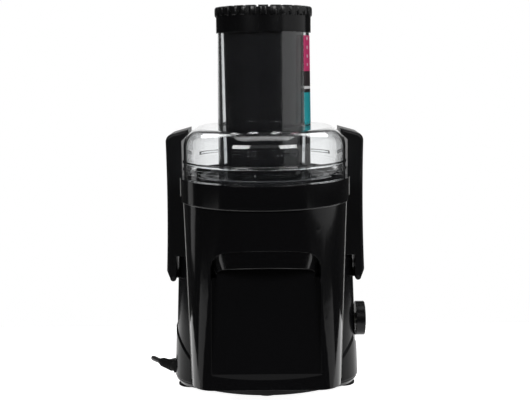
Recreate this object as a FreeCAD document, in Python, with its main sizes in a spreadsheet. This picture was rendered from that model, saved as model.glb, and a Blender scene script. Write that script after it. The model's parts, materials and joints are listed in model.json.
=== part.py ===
"""Centrifugal juicer as an assembly of separate pieces, in millimetres.

The spin axis is the Z axis, the table is at Z = 0 and the pulp container faces -Y.
+X is the side with the knob, -X the side where the mains lead comes out, +Y the side of the spout.
"""
import FreeCAD, Part
import math
import operator
import os
import Sketcher
from FreeCAD import Placement, Rotation, Vector

SIZES = {
    # Clearances between pieces
    "seat_gap": 0.05,
    "slip_gap": 0.3,
    "wall_gap": 1.2,
    # Base housing
    "base_bottom_half_width": 92.0,
    "base_top_half_width": 86.8,
    "base_front": 40.0,
    "base_corner_radius": 38.0,
    "base_wall": 2.5,
    "base_lift": 8.5,
    "base_edge": 3.0,
    "base_edge_height": 4.0,
    "deck_top": 139.0,
    "deck_thickness": 3.0,
    "tower_radius": 18.0,
    "tower_height": 14.0,
    "post_radius": 4.5,
    "front_post_x": 62.0,
    "front_post_y": -22.0,
    "rear_post_x": 30.0,
    "rear_post_y": 73.0,
    "shelf_top": 39.2,
    "shelf_thickness": 11.8,
    "shelf_half_width": 61.5,
    "shelf_side_reach": 85.0,
    "shelf_front_radius": 100.0,
    # Bottom cover and feet
    "cover_thickness": 3.0,
    "vent_length": 44.0,
    "vent_width": 4.0,
    "vent_pitch": 9.0,
    "cover_screw_radius": 1.6,
    "cover_screw_length": 20.0,
    "cover_screw_head_radius": 3.4,
    "cover_screw_head_height": 1.6,
    "foot_radius": 12.8,
    "foot_rim": 2.5,
    "foot_edge": 1.2,
    "foot_cup_depth": 3.0,
    "foot_neck_radius": 8.0,
    "foot_stem_radius": 4.0,
    "foot_button_radius": 6.0,
    "foot_button_height": 2.0,
    "side_foot_x": 78.0,
    "side_foot_y": 6.0,
    "near_foot_y": -21.0,
    "far_foot_x": 46.0,
    "far_foot_y": 56.0,
    # Motor
    "shaft_radius": 4.0,
    "shaft_bottom": 21.0,
    "shaft_top": 159.0,
    "bracket_half_width": 31.0,
    "bracket_thickness": 4.0,
    "lower_bracket_bottom": 20.0,
    "upper_bracket_bottom": 110.0,
    "bracket_boss_radius": 14.0,
    "bracket_leg_radius": 5.0,
    "bolt_spacing": 50.0,
    "bolt_radius": 2.0,
    "bolt_head_radius": 3.8,
    "bolt_head_height": 3.0,
    "bearing_radius": 11.0,
    "bearing_height": 7.0,
    "bearing_shoulder_radius": 8.0,
    "bearing_shoulder": 2.0,
    "stator_half_width": 30.0,
    "stator_bottom": 55.0,
    "stator_height": 34.0,
    "stator_bore_radius": 20.0,
    "coil_half_width": 12.0,
    "coil_depth": 4.0,
    "coil_overhang": 5.0,
    "coil_window_reach": 25.0,
    "air_gap": 0.7,
    "armature_inset": 1.0,
    "armature_slot_width": 3.0,
    "armature_slot_depth": 6.0,
    "winding_radius": 16.5,
    "winding_height": 5.0,
    "commutator_radius": 12.0,
    "commutator_bottom": 34.0,
    "commutator_height": 16.0,
    "brush_width": 6.0,
    "brush_length": 12.0,
    "brush_spring_length": 5.8,
    "brush_spring_radius": 2.5,
    "brush_holder_wall": 1.5,
    "brush_holder_inner_reach": 15.0,
    "fan_radius": 27.0,
    "fan_bottom": 94.2,
    "fan_plate_bottom": 96.0,
    "fan_plate_thickness": 1.5,
    "fan_hub_radius": 7.0,
    "fan_top": 103.0,
    "fan_blade_thickness": 1.2,
    "mount_spacing": 26.0,
    "mount_boss_radius": 6.0,
    "grommet_height": 4.0,
    "mount_screw_radius": 2.0,
    "mount_screw_length": 16.0,
    "mount_screw_head_radius": 3.6,
    "mount_screw_head_height": 2.6,
    "seal_height": 6.0,
    "seal_seat_height": 7.0,
    "seal_radius": 13.0,
    # Electrics and knob
    "knob_height": 69.7,
    "knob_radius": 17.2,
    "knob_depth": 9.2,
    "knob_edge": 0.8,
    "knob_mark_width": 1.6,
    "knob_mark_length": 11.0,
    "knob_mark_depth": 0.8,
    "knob_face_thickness": 2.3,
    "spindle_radius": 3.0,
    "spindle_inner_end": 66.0,
    "switch_back": 62.0,
    "switch_half_width": 13.0,
    "switch_half_height": 13.5,
    "switch_neck_radius": 5.5,
    "plunger_radius": 2.4,
    "plunger_collar_radius": 4.0,
    "plunger_collar_start": 77.0,
    "plunger_collar_width": 2.0,
    "plunger_drop": 10.0,
    "plunger_inner_end": 70.0,
    "safety_switch_length": 18.0,
    "safety_switch_half_width": 5.0,
    "safety_switch_height": 13.0,
    "capacitor_width": 26.0,
    "capacitor_depth": 12.0,
    "capacitor_height": 22.0,
    "capacitor_y": 62.0,
    # Juice bowl
    "bowl_radius": 72.6,
    "bowl_foot_radius": 71.0,
    "bowl_wall": 2.2,
    "bowl_spigot": 1.0,
    "bowl_front_rim": 218.7,
    "bowl_front_start": 12.0,
    "bowl_floor_lift": 5.0,
    "bowl_ring_radius": 64.0,
    "bowl_ledge_radius": 77.6,
    "bowl_ledge_thickness": 3.0,
    "bowl_collar_height": 18.0,
    "spout_start": 62.0,
    "spout_length": 66.0,
    "spout_start_height": 158.5,
    "spout_radius": 12.5,
    "spout_drop_angle": 8.0,
    # Sieve basket and drive coupling
    "coupling_radius": 12.0,
    "coupling_nose_radius": 9.0,
    "coupling_height": 13.4,
    "coupling_shoulder": 5.4,
    "hub_wall": 3.2,
    "hub_disc_radius": 54.5,
    "hub_disc_thickness": 3.0,
    "hub_disc_slope": 5.0,
    "grater_height": 181.5,
    "grater_radius": 51.0,
    "grater_thickness": 1.2,
    "grater_boss_radius": 8.0,
    "grater_boss_height": 4.0,
    "grater_boss_taper": 2.0,
    "sieve_bottom_radius": 54.2,
    "sieve_top_radius": 61.5,
    "sieve_top": 213.5,
    "sieve_wall": 0.9,
    "rim_radius": 65.0,
    "rim_height": 4.5,
    "rim_taper": 1.0,
    "rim_inner_radius": 59.7,
    # Lid and feed tube
    "lid_half_width": 75.6,
    "lid_nose_centre": 50.0,
    "lid_bottom": 222.3,
    "lid_top": 267.5,
    "lid_shoulder_radius": 17.0,
    "lid_wall": 2.4,
    "lid_flange_bottom": 229.7,
    "lid_flange_thickness": 2.5,
    "lid_flange_reach": 1.0,
    "tube_top_radius": 44.7,
    "tube_bottom_radius": 46.8,
    "tube_bore_top_radius": 41.6,
    "tube_bore_bottom_radius": 40.6,
    "tube_top": 356.0,
    "tube_bottom": 189.5,
    # Pusher
    "pusher_bottom": 193.5,
    "pusher_bottom_radius": 37.2,
    "pusher_top_radius": 39.0,
    "pusher_wall": 2.2,
    "pusher_head_radius": 46.1,
    "pusher_head_height": 18.6,
    "grip_radius": 46.5,
    "grip_height": 5.6,
    "grip_notch_width": 3.0,
    "grip_notch_depth": 1.6,
    # Clamps
    "pin_drop": 21.0,
    "pin_radius": 1.5,
    "ear_radius": 3.0,
    "ear_half_width": 8.0,
    "clamp_eye_radius": 3.0,
    "clamp_half_width": 24.0,
    "clamp_side_gap": 0.4,
    "clamp_foot_reach": 6.2,
    "clamp_foot_rise": 8.0,
    "clamp_head_reach": 4.7,
    "clamp_head_drop": 9.0,
    "clamp_bow_radius": 1950.0,
    "clamp_crown_radius": 8.0,
    "clamp_edge_radius": 3.0,
    "clamp_hook_overlap": 2.1,
    "clamp_hook_drop": 2.8,
    "clamp_lid_gap": 3.6,
    "clamp_ledge_gap": 2.0,
    "clamp_waist_gap": 1.8,
    "clamp_waist_slope": 4.0,
    "clamp_pocket_depth": 17.0,
    "clamp_wall": 3.0,
    "liner_margin": 12.0,
    "liner_thickness": 2.4,
    # Pulp container
    "container_wall": 2.2,
    "container_top_half_width": 76.5,
    "container_bottom_half_width": 67.0,
    "container_bottom_front": 127.0,
    "container_bottom_corner": 20.0,
    "container_collar_height": 21.0,
    "container_collar_reach": 2.5,
    "container_back_rim": 215.7,
    "hold_half_width": 48.7,
    "hold_lip": 146.0,
    "hold_corner_drop": 13.5,
    "hold_corner_width": 12.0,
    "hold_corner_radius": 16.0,
    "hold_arch_radius": 220.0,
    "hold_depth": 24.0,
    "hold_fade_height": 53.8,
    "hold_fade_depth": 2.5,
    "hold_bevel_height": 16.0,
    "hold_bevel_depth": 6.0,
    # Mains lead, coil and plug
    "gland_y": -4.0,
    "gland_height": 21.6,
    "gland_flange_radius": 6.5,
    "gland_flange_thickness": 2.4,
    "gland_neck_radius": 4.6,
    "gland_neck_length": 10.0,
    "boot_length": 22.0,
    "boot_root_radius": 4.8,
    "boot_tip_radius": 3.6,
    "lead_radius": 2.6,
    "coil_x": -12.0,
    "coil_y": 141.0,
    "coil_outer_radius": 36.0,
    "coil_pitch": 5.8,
    "coil_layer_rise": 5.8,
    "coil_climb_dip": 2.0,
    "coil_tail": 18.0,
    "tie_thickness": 0.7,
    "tie_gap": 0.25,
    "tie_width": 7.0,
    "plug_half_width": 17.5,
    "plug_length": 36.0,
    "plug_sleeve_radius": 4.6,
    "plug_sleeve_length": 12.0,
    "plug_corner_radius": 6.0,
    "plug_pin_radius": 2.4,
    "plug_pin_length": 19.0,
    "plug_pin_spacing": 19.0,
}
GRIP_NOTCHES = 24
ARMATURE_SLOTS = 12
FAN_BLADES = 9
VENT_SLOTS = 5
COIL_TURNS_PER_LAYER = 2.5
COIL_CLIMB_TURNS = 0.5
COIL_TURNS = 2 * COIL_TURNS_PER_LAYER + COIL_CLIMB_TURNS
STEPS_PER_TURN = 4
SAMPLES_PER_EDGE = 14
# Each bend of the lead takes this share of its shorter run
BEND_SHARE = 0.45
# Turns of the coil count as neighbours once they lie this many turns apart
NEIGHBOUR_TURNS = 0.4
TOLERANCE = 1e-4
# How far a cutting tool, or a piece that is fused, reaches past a face
PAST = 1.0

doc = FreeCAD.newDocument("CentrifugalJuicer")
sheet = doc.addObject("Spreadsheet::Sheet", "Sizes")
for row, (alias, number) in enumerate(SIZES.items(), 1):
    sheet.set(f"A{row}", alias)
    sheet.set(f"B{row}", str(number))
    sheet.setAlias(f"B{row}", alias)
doc.recompute()
nodes = []


# Sizes that carry both their sheet expression and their present number

OPERATIONS = {"+": operator.add, "-": operator.sub, "*": operator.mul, "/": operator.truediv}


class Size:
    """A dimension: the expression that the document binds, and the number it has now."""

    def __init__(self, text, value):
        self.text = text
        self.value = value

    def __add__(self, other):
        return combine(self, "+", other)

    def __radd__(self, other):
        return combine(other, "+", self)

    def __sub__(self, other):
        return combine(self, "-", other)

    def __rsub__(self, other):
        return combine(other, "-", self)

    def __mul__(self, other):
        return combine(self, "*", other)

    def __rmul__(self, other):
        return combine(other, "*", self)

    def __truediv__(self, other):
        return combine(self, "/", other)

    def __neg__(self):
        return combine(0, "-", self)


def as_size(value):
    return value if isinstance(value, Size) else Size(repr(value), value)


def combine(left, sign, right):
    left, right = as_size(left), as_size(right)
    return Size(f"({left.text} {sign} {right.text})", OPERATIONS[sign](left.value, right.value))


def root(value):
    return Size(f"sqrt({value.text})", math.sqrt(value.value))


def number_of(value):
    return as_size(value).value


class SheetSizes:
    """Gives each cell of the sheet as a Size, by its alias."""

    def __getattr__(self, alias):
        return Size(f"Sizes.{alias}", float(sheet.get(alias)))


s = SheetSizes()


# Document helpers

def bind(item, path, value):
    """Bind a property to a size, so that it follows the sheet."""
    item.setExpression(path, as_size(value).text)


def place(item, x=0, y=0, z=0, rotation=Rotation()):
    """Put an object at a point, with each coordinate that is a size bound to the sheet."""
    spot = Vector(number_of(x), number_of(y), number_of(z))
    item.Placement = Placement(spot, rotation)
    for axis, value in (("x", x), ("y", y), ("z", z)):
        if isinstance(value, Size):
            bind(item, f"Placement.Base.{axis}", value)
    return item


ALONG = {
    "+X": Rotation(Vector(0, 1, 0), 90),
    "-X": Rotation(Vector(0, 1, 0), -90),
    "+Y": Rotation(Vector(1, 0, 0), -90),
    "-Y": Rotation(Vector(1, 0, 0), 90),
    "+Z": Rotation(),
}


def cylinder(name, radius, height, x=0, y=0, z=0, along="+Z"):
    item = doc.addObject("Part::Cylinder", name)
    bind(item, "Radius", radius)
    bind(item, "Height", height)
    rotation = ALONG[along] if isinstance(along, str) else along
    return place(item, x, y, z, rotation)


def cone(name, start_radius, end_radius, height, x=0, y=0, z=0, along="+Z"):
    item = doc.addObject("Part::Cone", name)
    bind(item, "Radius1", start_radius)
    bind(item, "Radius2", end_radius)
    bind(item, "Height", height)
    rotation = ALONG[along] if isinstance(along, str) else along
    return place(item, x, y, z, rotation)


def ball(name, radius, x=0, y=0, z=0):
    item = doc.addObject("Part::Sphere", name)
    bind(item, "Radius", radius)
    return place(item, x, y, z)


def box(name, x, y, z, rotation=Rotation()):
    """A box between pairs of coordinates, turned about the Z axis if asked."""
    item = doc.addObject("Part::Box", name)
    for path, (low, high) in (("Length", x), ("Width", y), ("Height", z)):
        bind(item, path, high - low)
    if rotation.Angle == 0:
        return place(item, x[0], y[0], z[0])
    corner = rotation.multVec(Vector(number_of(x[0]), number_of(y[0]), number_of(z[0])))
    return place(item, corner.x, corner.y, corner.z, rotation)


def fuse(name, *items):
    item = doc.addObject("Part::MultiFuse", name)
    item.Shapes = list(items)
    item.Refine = True
    return item


def common(name, first, second):
    item = doc.addObject("Part::MultiCommon", name)
    item.Shapes = [first, second]
    return item


def cut(name, base, *tools):
    item = doc.addObject("Part::Cut", name)
    item.Base = base
    item.Tool = tools[0] if len(tools) == 1 else fuse(f"{name}_tools", *tools)
    return item


def group(name, items):
    """Separate equal solids that share one node."""
    item = doc.addObject("Part::Compound", name)
    item.Links = list(items)
    return item


def node(item, label):
    """Name a finished piece, which also names its file."""
    item.Label = label
    nodes.append(item)
    return item


def arc_between(start, end, radius, inward):
    """The shorter arc from start to end, bulging right of the way there, or left if inward."""
    if inward:
        start, end = end, start
    chord = end - start
    rise = math.sqrt(max(radius ** 2 - (chord.Length / 2) ** 2, 0))
    normal = Vector(-chord.y, chord.x, 0).normalize()
    centre = (start + end) * 0.5 + normal * rise
    first = math.atan2(start.y - centre.y, start.x - centre.x)
    last = math.atan2(end.y - centre.y, end.x - centre.x)
    if last < first:
        last += 2 * math.pi
    return Part.ArcOfCircle(Part.Circle(centre, Vector(0, 0, 1), radius), first, last)


def hold(sketch, kind, edge, end, value):
    """Fix one coordinate of an edge's end to a size, or to the axis where it is zero."""
    if not isinstance(value, Size):
        axis = -2 if kind == "DistanceX" else -1
        sketch.addConstraint(Sketcher.Constraint("PointOnObject", edge, end, axis))
        return
    index = sketch.addConstraint(Sketcher.Constraint(kind, -1, 1, edge, end, value.value))
    bind(sketch, f"Constraints[{index}]", value)


def draw(sketch, outline):
    """Draw a closed outline of corners (x, y), (x, y, radius) or (x, y, radius, "inward").

    The radius makes the edge from that corner to the next one an arc.
    """
    spots = [Vector(number_of(corner[0]), number_of(corner[1]), 0) for corner in outline]
    ends = []
    for index, corner in enumerate(outline):
        start, end = spots[index], spots[(index + 1) % len(spots)]
        inward = len(corner) == 4
        if len(corner) == 2:
            sketch.addGeometry(Part.LineSegment(start, end), False)
        else:
            sketch.addGeometry(arc_between(start, end, number_of(corner[2]), inward), False)
        ends.append((2, 1) if inward else (1, 2))
    for index, corner in enumerate(outline):
        following = (index + 1) % len(outline)
        joint = Sketcher.Constraint("Coincident", index, ends[index][1], following, ends[following][0])
        sketch.addConstraint(joint)
        hold(sketch, "DistanceX", index, ends[index][0], corner[0])
        hold(sketch, "DistanceY", index, ends[index][0], corner[1])
        if len(corner) > 2:
            spot = sketch.addConstraint(Sketcher.Constraint("Radius", index, number_of(corner[2])))
            bind(sketch, f"Constraints[{spot}]", corner[2])


def sketch_in(body, name, plane, outline, offset=0):
    """A sketch on one of the body's own origin planes, moved off it by an offset."""
    sketch = body.newObject("Sketcher::SketchObject", name)
    support = next(item for item in body.Origin.OriginFeatures if item.Role == plane)
    sketch.AttachmentSupport = (support, [""])
    sketch.MapMode = "FlatFace"
    draw(sketch, outline)
    if isinstance(offset, Size):
        sketch.AttachmentOffset = Placement(Vector(0, 0, offset.value), Rotation())
        bind(sketch, "AttachmentOffset.Base.z", offset)
    return sketch


def turned(name, profile):
    """A body of revolution about its Z axis, from corners (radius, height)."""
    body = doc.addObject("PartDesign::Body", name)
    sketch = sketch_in(body, f"{name}_profile", "XZ_Plane", profile)
    turn = body.newObject("PartDesign::Revolution", f"{name}_turn")
    turn.Profile = sketch
    turn.ReferenceAxis = (sketch, ["V_Axis"])
    turn.Angle = 360
    return body


def prism(name, outline, height, bottom=0, plane="XY_Plane"):
    """A body padded from an outline, along Z, or along X or -Y for the upright planes."""
    body = doc.addObject("PartDesign::Body", name)
    sketch = sketch_in(body, f"{name}_outline", plane, outline)
    pad = body.newObject("PartDesign::Pad", f"{name}_pad")
    pad.Profile = sketch
    bind(pad, "Length", height)
    if plane == "XY_Plane":
        return place(body, z=bottom)
    if plane == "XZ_Plane":
        return place(body, y=bottom)
    return place(body, x=bottom)


def lofted(name, sections, plane="XY_Plane"):
    """A body lofted straight through outlines at given offsets from a plane."""
    body = doc.addObject("PartDesign::Body", name)
    sketches = [
        sketch_in(body, f"{name}_section_{index}", plane, outline, offset)
        for index, (outline, offset) in enumerate(sections)
    ]
    loft = body.newObject("PartDesign::AdditiveLoft", f"{name}_loft")
    loft.Profile = sketches[0]
    loft.Sections = sketches[1:]
    loft.Ruled = True
    return body


def round_edges(body, radius, chosen):
    """Round the edges of a body's last feature that the test picks."""
    doc.recompute()
    feature = body.Tip
    names = [f"Edge{index}" for index, edge in enumerate(feature.Shape.Edges, 1) if chosen(edge.BoundBox)]
    fillet = body.newObject("PartDesign::Fillet", f"{body.Name}_round")
    fillet.Base = (feature, names)
    bind(fillet, "Radius", radius)
    return body


def level_at(height):
    """A test for the edges that lie in the plane at a height."""
    return lambda bounds: abs(bounds.ZMin - height) < TOLERANCE and abs(bounds.ZMax - height) < TOLERANCE


# Heights and radii that several pieces share

cover_top = s.base_lift + s.cover_thickness
edge_top = s.base_lift + s.base_edge_height
deck_bottom = s.deck_top - s.deck_thickness
tower_top = s.deck_top + s.tower_height
bowl_floor = s.deck_top + s.bowl_floor_lift
bolt_offset = s.bolt_spacing / 2
bolt_spots = [(sx * bolt_offset, sy * bolt_offset) for sx in (-1, 1) for sy in (-1, 1)]
mount_spots = [(s.mount_spacing, 0), (-s.mount_spacing, 0), (0, s.mount_spacing), (0, -s.mount_spacing)]
post_spots = [
    (-s.front_post_x, s.front_post_y),
    (s.front_post_x, s.front_post_y),
    (-s.rear_post_x, s.rear_post_y),
    (s.rear_post_x, s.rear_post_y),
]
foot_spots = [
    (-s.side_foot_x, s.side_foot_y),
    (s.side_foot_x, s.side_foot_y),
    (0, s.near_foot_y),
    (-s.far_foot_x, s.far_foot_y),
    (s.far_foot_x, s.far_foot_y),
]
plunger_height = s.deck_top - s.plunger_drop
upper_bracket_top = s.upper_bracket_bottom + s.bracket_thickness
lower_bracket_top = s.lower_bracket_bottom + s.bracket_thickness
grommet_top = upper_bracket_top + s.grommet_height
upper_bearing_bottom = s.upper_bracket_bottom + s.bearing_shoulder
lower_bearing_bottom = s.lower_bracket_bottom + s.bearing_shoulder
stator_top = s.stator_bottom + s.stator_height
brush_centre = s.commutator_bottom + s.commutator_height / 2
brush_half = s.brush_width / 2
holder_half = brush_half + s.seat_gap + s.brush_holder_wall
brush_start = s.commutator_radius + s.seat_gap * 2
spring_start = brush_start + s.brush_length + s.seat_gap
holder_end = spring_start + s.brush_spring_length + s.seat_gap
container_bottom = s.shelf_top + s.slip_gap
container_top = s.lid_bottom - s.slip_gap
container_back = s.base_front + s.wall_gap
bowl_floor_top = bowl_floor + s.bowl_wall
ledge_top = s.lid_bottom - s.slip_gap
ledge_bottom = ledge_top - s.bowl_ledge_thickness
spigot_top = ledge_top + s.bowl_spigot


def base_half_width(height):
    """Half width of the base's outside at a height above its lower edge."""
    flare = s.base_bottom_half_width - s.base_top_half_width
    return s.base_top_half_width + flare * (s.deck_top - height) / (s.deck_top - edge_top)


pin_height = s.deck_top - s.pin_drop
clamp_inner_low = base_half_width(pin_height - s.clamp_eye_radius) + s.slip_gap
pin_reach = clamp_inner_low + s.clamp_eye_radius
clamp_waist = s.bowl_radius + s.clamp_waist_gap
waist_bottom = s.deck_top + s.wall_gap
waist_top = ledge_bottom - s.clamp_ledge_gap - s.clamp_waist_slope
knob_back = base_half_width(s.knob_height - s.knob_radius) + s.slip_gap
gland_wall = base_half_width(s.gland_height - s.gland_flange_radius)


# Base housing, bottom cover and feet

def base_outline(half_width, inset):
    """Round at the back, flat at the front, with round front corners."""
    width = half_width - inset
    front = s.base_front - inset
    corner = s.base_corner_radius - inset
    return [
        (width, 0, width),
        (0, width, width),
        (-width, 0),
        (-width, corner - front, corner),
        (corner - width, -front),
        (width - corner, -front, corner),
        (width, corner - front),
    ]


def shelf_outline():
    back = s.base_wall / 2 - s.base_front
    return [
        (s.shelf_half_width, back),
        (-s.shelf_half_width, back),
        (-s.shelf_half_width, -s.shelf_side_reach, s.shelf_front_radius),
        (s.shelf_half_width, -s.shelf_side_reach),
    ]


def clamp_ears():
    """An ear on each side of the base, which carries a clamp's pin."""
    ears = []
    width = s.ear_half_width
    ear_root = s.base_top_half_width - s.base_wall / 2
    height = (pin_height - s.ear_radius, pin_height + s.ear_radius)
    for side in (-1, 1):
        reach = sorted((side * ear_root, side * pin_reach), key=number_of)
        ears.append(box(f"ear_root_{side + 1}", reach, (-width, width), height))
        ears.append(cylinder(f"ear_eye_{side + 1}", s.ear_radius, width * 2, side * pin_reach, -width,
                             pin_height, "+Y"))
    return ears


def housing_holes():
    """Holes for the shaft, the switch, the plunger, the gland, the clamp pins and the screws."""
    side_start = s.base_top_half_width - s.base_wall * 2
    gland_start = s.base_wall * 3 - s.base_bottom_half_width
    holes = [
        cylinder("housing_shaft_hole", s.bearing_shoulder_radius, s.deck_thickness + PAST * 2,
                 z=deck_bottom - PAST),
        cylinder("housing_switch_hole", s.switch_neck_radius + s.slip_gap, s.base_wall * 4, side_start, 0,
                 s.knob_height, "+X"),
        cylinder("housing_plunger_hole", s.plunger_radius + s.seat_gap, s.base_wall * 4, side_start, 0,
                 plunger_height, "+X"),
        cylinder("housing_gland_hole", s.gland_neck_radius + s.slip_gap, s.base_wall * 6, gland_start,
                 s.gland_y, s.gland_height, "-X"),
    ]
    for side in (-1, 1):
        holes.append(cylinder(f"housing_pin_hole_{side + 1}", s.pin_radius + s.seat_gap,
                              s.clamp_half_width * 2, side * pin_reach, -s.clamp_half_width, pin_height,
                              "+Y"))
    for index, (x, y) in enumerate(post_spots):
        holes.append(cylinder(f"housing_screw_hole_{index}", s.cover_screw_radius + s.seat_gap,
                              s.cover_screw_length + PAST * 2, x, y, cover_top - PAST))
    for index, (x, y) in enumerate(mount_spots):
        holes.append(cylinder(f"housing_mount_hole_{index}", s.mount_screw_radius + s.seat_gap,
                              deck_bottom - grommet_top, x, y, grommet_top - PAST))
    return holes


def make_base_housing():
    bottom_width, top_width = s.base_bottom_half_width, s.base_top_half_width
    outer = lofted("housing_outer", [
        (base_outline(bottom_width, s.base_edge), s.base_lift),
        (base_outline(bottom_width, 0), edge_top),
        (base_outline(top_width, 0), s.deck_top),
    ])
    hollow = lofted("housing_hollow", [
        (base_outline(bottom_width, s.base_edge + s.base_wall), s.base_lift),
        (base_outline(bottom_width, s.base_wall), edge_top),
        (base_outline(top_width, s.base_wall), deck_bottom),
    ])
    shell = cut("housing_shell", outer, hollow)
    shelf = prism("housing_shelf", shelf_outline(), s.shelf_thickness, s.shelf_top - s.shelf_thickness)
    posts = [
        cylinder(f"housing_post_{index}", s.post_radius, deck_bottom - cover_top + PAST, x, y, cover_top)
        for index, (x, y) in enumerate(post_spots)
    ]
    bosses = [
        cylinder(f"housing_boss_{index}", s.mount_boss_radius, deck_bottom - grommet_top + PAST, x, y,
                 grommet_top)
        for index, (x, y) in enumerate(mount_spots)
    ]
    solid = fuse("housing_solid", shell, shelf, *posts, *bosses, *clamp_ears())
    node(cut("housing", solid, *housing_holes()), "base_housing")


def make_seal_carrier():
    """The raised ring on the deck that keeps the shaft seal above the juice."""
    ring = cylinder("carrier_ring", s.tower_radius, s.tower_height, z=s.deck_top)
    seat = cylinder("carrier_seal_seat", s.seal_radius + s.seat_gap, s.seal_seat_height + PAST,
                    z=tower_top - s.seal_seat_height)
    hole = cylinder("carrier_shaft_hole", s.bearing_shoulder_radius, s.tower_height, z=s.deck_top - PAST)
    node(cut("carrier", ring, seat, hole), "seal_carrier")


def make_bottom_cover():
    outline = base_outline(s.base_bottom_half_width, s.base_edge + s.base_wall + s.slip_gap)
    plate = prism("cover_plate", outline, s.cover_thickness, s.base_lift)
    holes = []
    for index, (x, y) in enumerate(foot_spots):
        holes.append(cylinder(f"cover_foot_hole_{index}", s.foot_stem_radius + s.seat_gap,
                              s.cover_thickness + PAST * 2, x, y, s.base_lift - PAST))
    head_depth = s.cover_screw_head_height + s.seat_gap
    for index, (x, y) in enumerate(post_spots):
        holes.append(cylinder(f"cover_screw_hole_{index}", s.cover_screw_radius + s.slip_gap,
                              s.cover_thickness + PAST * 2, x, y, s.base_lift - PAST))
        holes.append(cylinder(f"cover_screw_sink_{index}", s.cover_screw_head_radius + s.slip_gap,
                              head_depth + PAST, x, y, s.base_lift - PAST))
    for index in range(VENT_SLOTS):
        middle = (index - (VENT_SLOTS - 1) / 2) * s.vent_pitch + s.vent_length / 2
        holes.append(box(f"cover_vent_{index}", (-s.vent_length / 2, s.vent_length / 2),
                         (middle - s.vent_width / 2, middle + s.vent_width / 2),
                         (s.base_lift - PAST, cover_top + PAST)))
    node(cut("cover", plate, *holes), "bottom_cover")


def make_cover_screws():
    screws = []
    head_bottom = s.base_lift + s.seat_gap
    for index, (x, y) in enumerate(post_spots):
        head = cylinder(f"cover_screw_head_{index}", s.cover_screw_head_radius, s.cover_screw_head_height,
                        x, y, head_bottom)
        shank = cylinder(f"cover_screw_shank_{index}", s.cover_screw_radius, s.cover_screw_length, x, y,
                         head_bottom)
        screws.append(fuse(f"cover_screw_{index}", head, shank))
    node(group("cover_screw_set", screws), "cover_screws")


def make_feet():
    profile = [
        (0, s.foot_cup_depth),
        (s.foot_radius - s.foot_rim, 0),
        (s.foot_radius, 0),
        (s.foot_radius, s.foot_edge),
        (s.foot_neck_radius, s.base_lift),
        (s.foot_stem_radius, s.base_lift),
        (s.foot_stem_radius, cover_top),
        (s.foot_button_radius, cover_top),
        (s.foot_button_radius, cover_top + s.foot_button_height),
        (0, cover_top + s.foot_button_height),
    ]
    feet = [place(turned(f"foot_{index}", profile), x, y) for index, (x, y) in enumerate(foot_spots)]
    node(group("feet", feet), "suction_feet")


# Motor

def make_brackets():
    edge = (-s.bracket_half_width, s.bracket_half_width)
    bolt_hole = s.bolt_radius + s.seat_gap

    upper_plate = box("upper_plate", edge, edge, (s.upper_bracket_bottom, upper_bracket_top))
    upper_boss = cylinder("upper_boss", s.bracket_boss_radius, s.bearing_height + s.bearing_shoulder,
                          z=s.upper_bracket_bottom)
    upper_legs = [
        cylinder(f"upper_leg_{index}", s.bracket_leg_radius, s.upper_bracket_bottom - stator_top + PAST, x,
                 y, stator_top)
        for index, (x, y) in enumerate(bolt_spots)
    ]
    upper_holes = [
        cylinder("upper_seat", s.bearing_radius + s.seat_gap, s.bearing_height + PAST,
                 z=upper_bearing_bottom),
        cylinder("upper_shaft_hole", s.bearing_shoulder_radius, s.bearing_height,
                 z=s.upper_bracket_bottom - PAST),
    ]
    for index, (x, y) in enumerate(bolt_spots):
        upper_holes.append(cylinder(f"upper_bolt_hole_{index}", bolt_hole,
                                    upper_bracket_top - stator_top + PAST * 2, x, y, stator_top - PAST))
    for index, (x, y) in enumerate(mount_spots):
        upper_holes.append(cylinder(f"upper_mount_hole_{index}", s.mount_screw_radius + s.seat_gap,
                                    s.bracket_thickness + PAST * 2, x, y, s.upper_bracket_bottom - PAST))
    upper = fuse("upper_solid", upper_plate, upper_boss, *upper_legs)
    node(cut("upper_bracket_cut", upper, *upper_holes), "upper_bracket")

    lower_plate = box("lower_plate", edge, edge, (s.lower_bracket_bottom, lower_bracket_top))
    lower_boss = cylinder("lower_boss", s.bracket_boss_radius, s.bearing_height + s.bearing_shoulder,
                          z=s.lower_bracket_bottom)
    lower_legs = [
        cylinder(f"lower_leg_{index}", s.bracket_leg_radius, s.stator_bottom - lower_bracket_top + PAST, x,
                 y, lower_bracket_top - PAST)
        for index, (x, y) in enumerate(bolt_spots)
    ]
    arm_top = brush_centre - holder_half
    arms = []
    for side in (-1, 1):
        reach = sorted((side * s.brush_holder_inner_reach, side * holder_end), key=number_of)
        arms.append(box(f"brush_arm_{side + 1}", reach, (-holder_half, holder_half),
                        (lower_bracket_top - PAST, arm_top)))
    lower_holes = [
        cylinder("lower_seat", s.bearing_radius + s.seat_gap, s.bearing_height + PAST,
                 z=lower_bearing_bottom),
        cylinder("lower_shaft_hole", s.shaft_radius + s.slip_gap, s.bearing_height,
                 z=s.lower_bracket_bottom - PAST),
    ]
    for index, (x, y) in enumerate(bolt_spots):
        lower_holes.append(cylinder(f"lower_bolt_hole_{index}", bolt_hole,
                                    s.stator_bottom - s.lower_bracket_bottom + PAST * 2, x, y,
                                    s.lower_bracket_bottom - PAST))
    lower = fuse("lower_solid", lower_plate, lower_boss, *lower_legs, *arms)
    node(cut("lower_bracket_cut", lower, *lower_holes), "lower_bracket")


def make_bearings():
    for name, bottom in (("upper_bearing", upper_bearing_bottom), ("lower_bearing", lower_bearing_bottom)):
        ring = cylinder(f"{name}_ring", s.bearing_radius, s.bearing_height, z=bottom)
        bore = cylinder(f"{name}_bore", s.shaft_radius + s.seat_gap, s.bearing_height + PAST * 2,
                        z=bottom - PAST)
        node(cut(f"{name}_cut", ring, bore), name)


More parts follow.
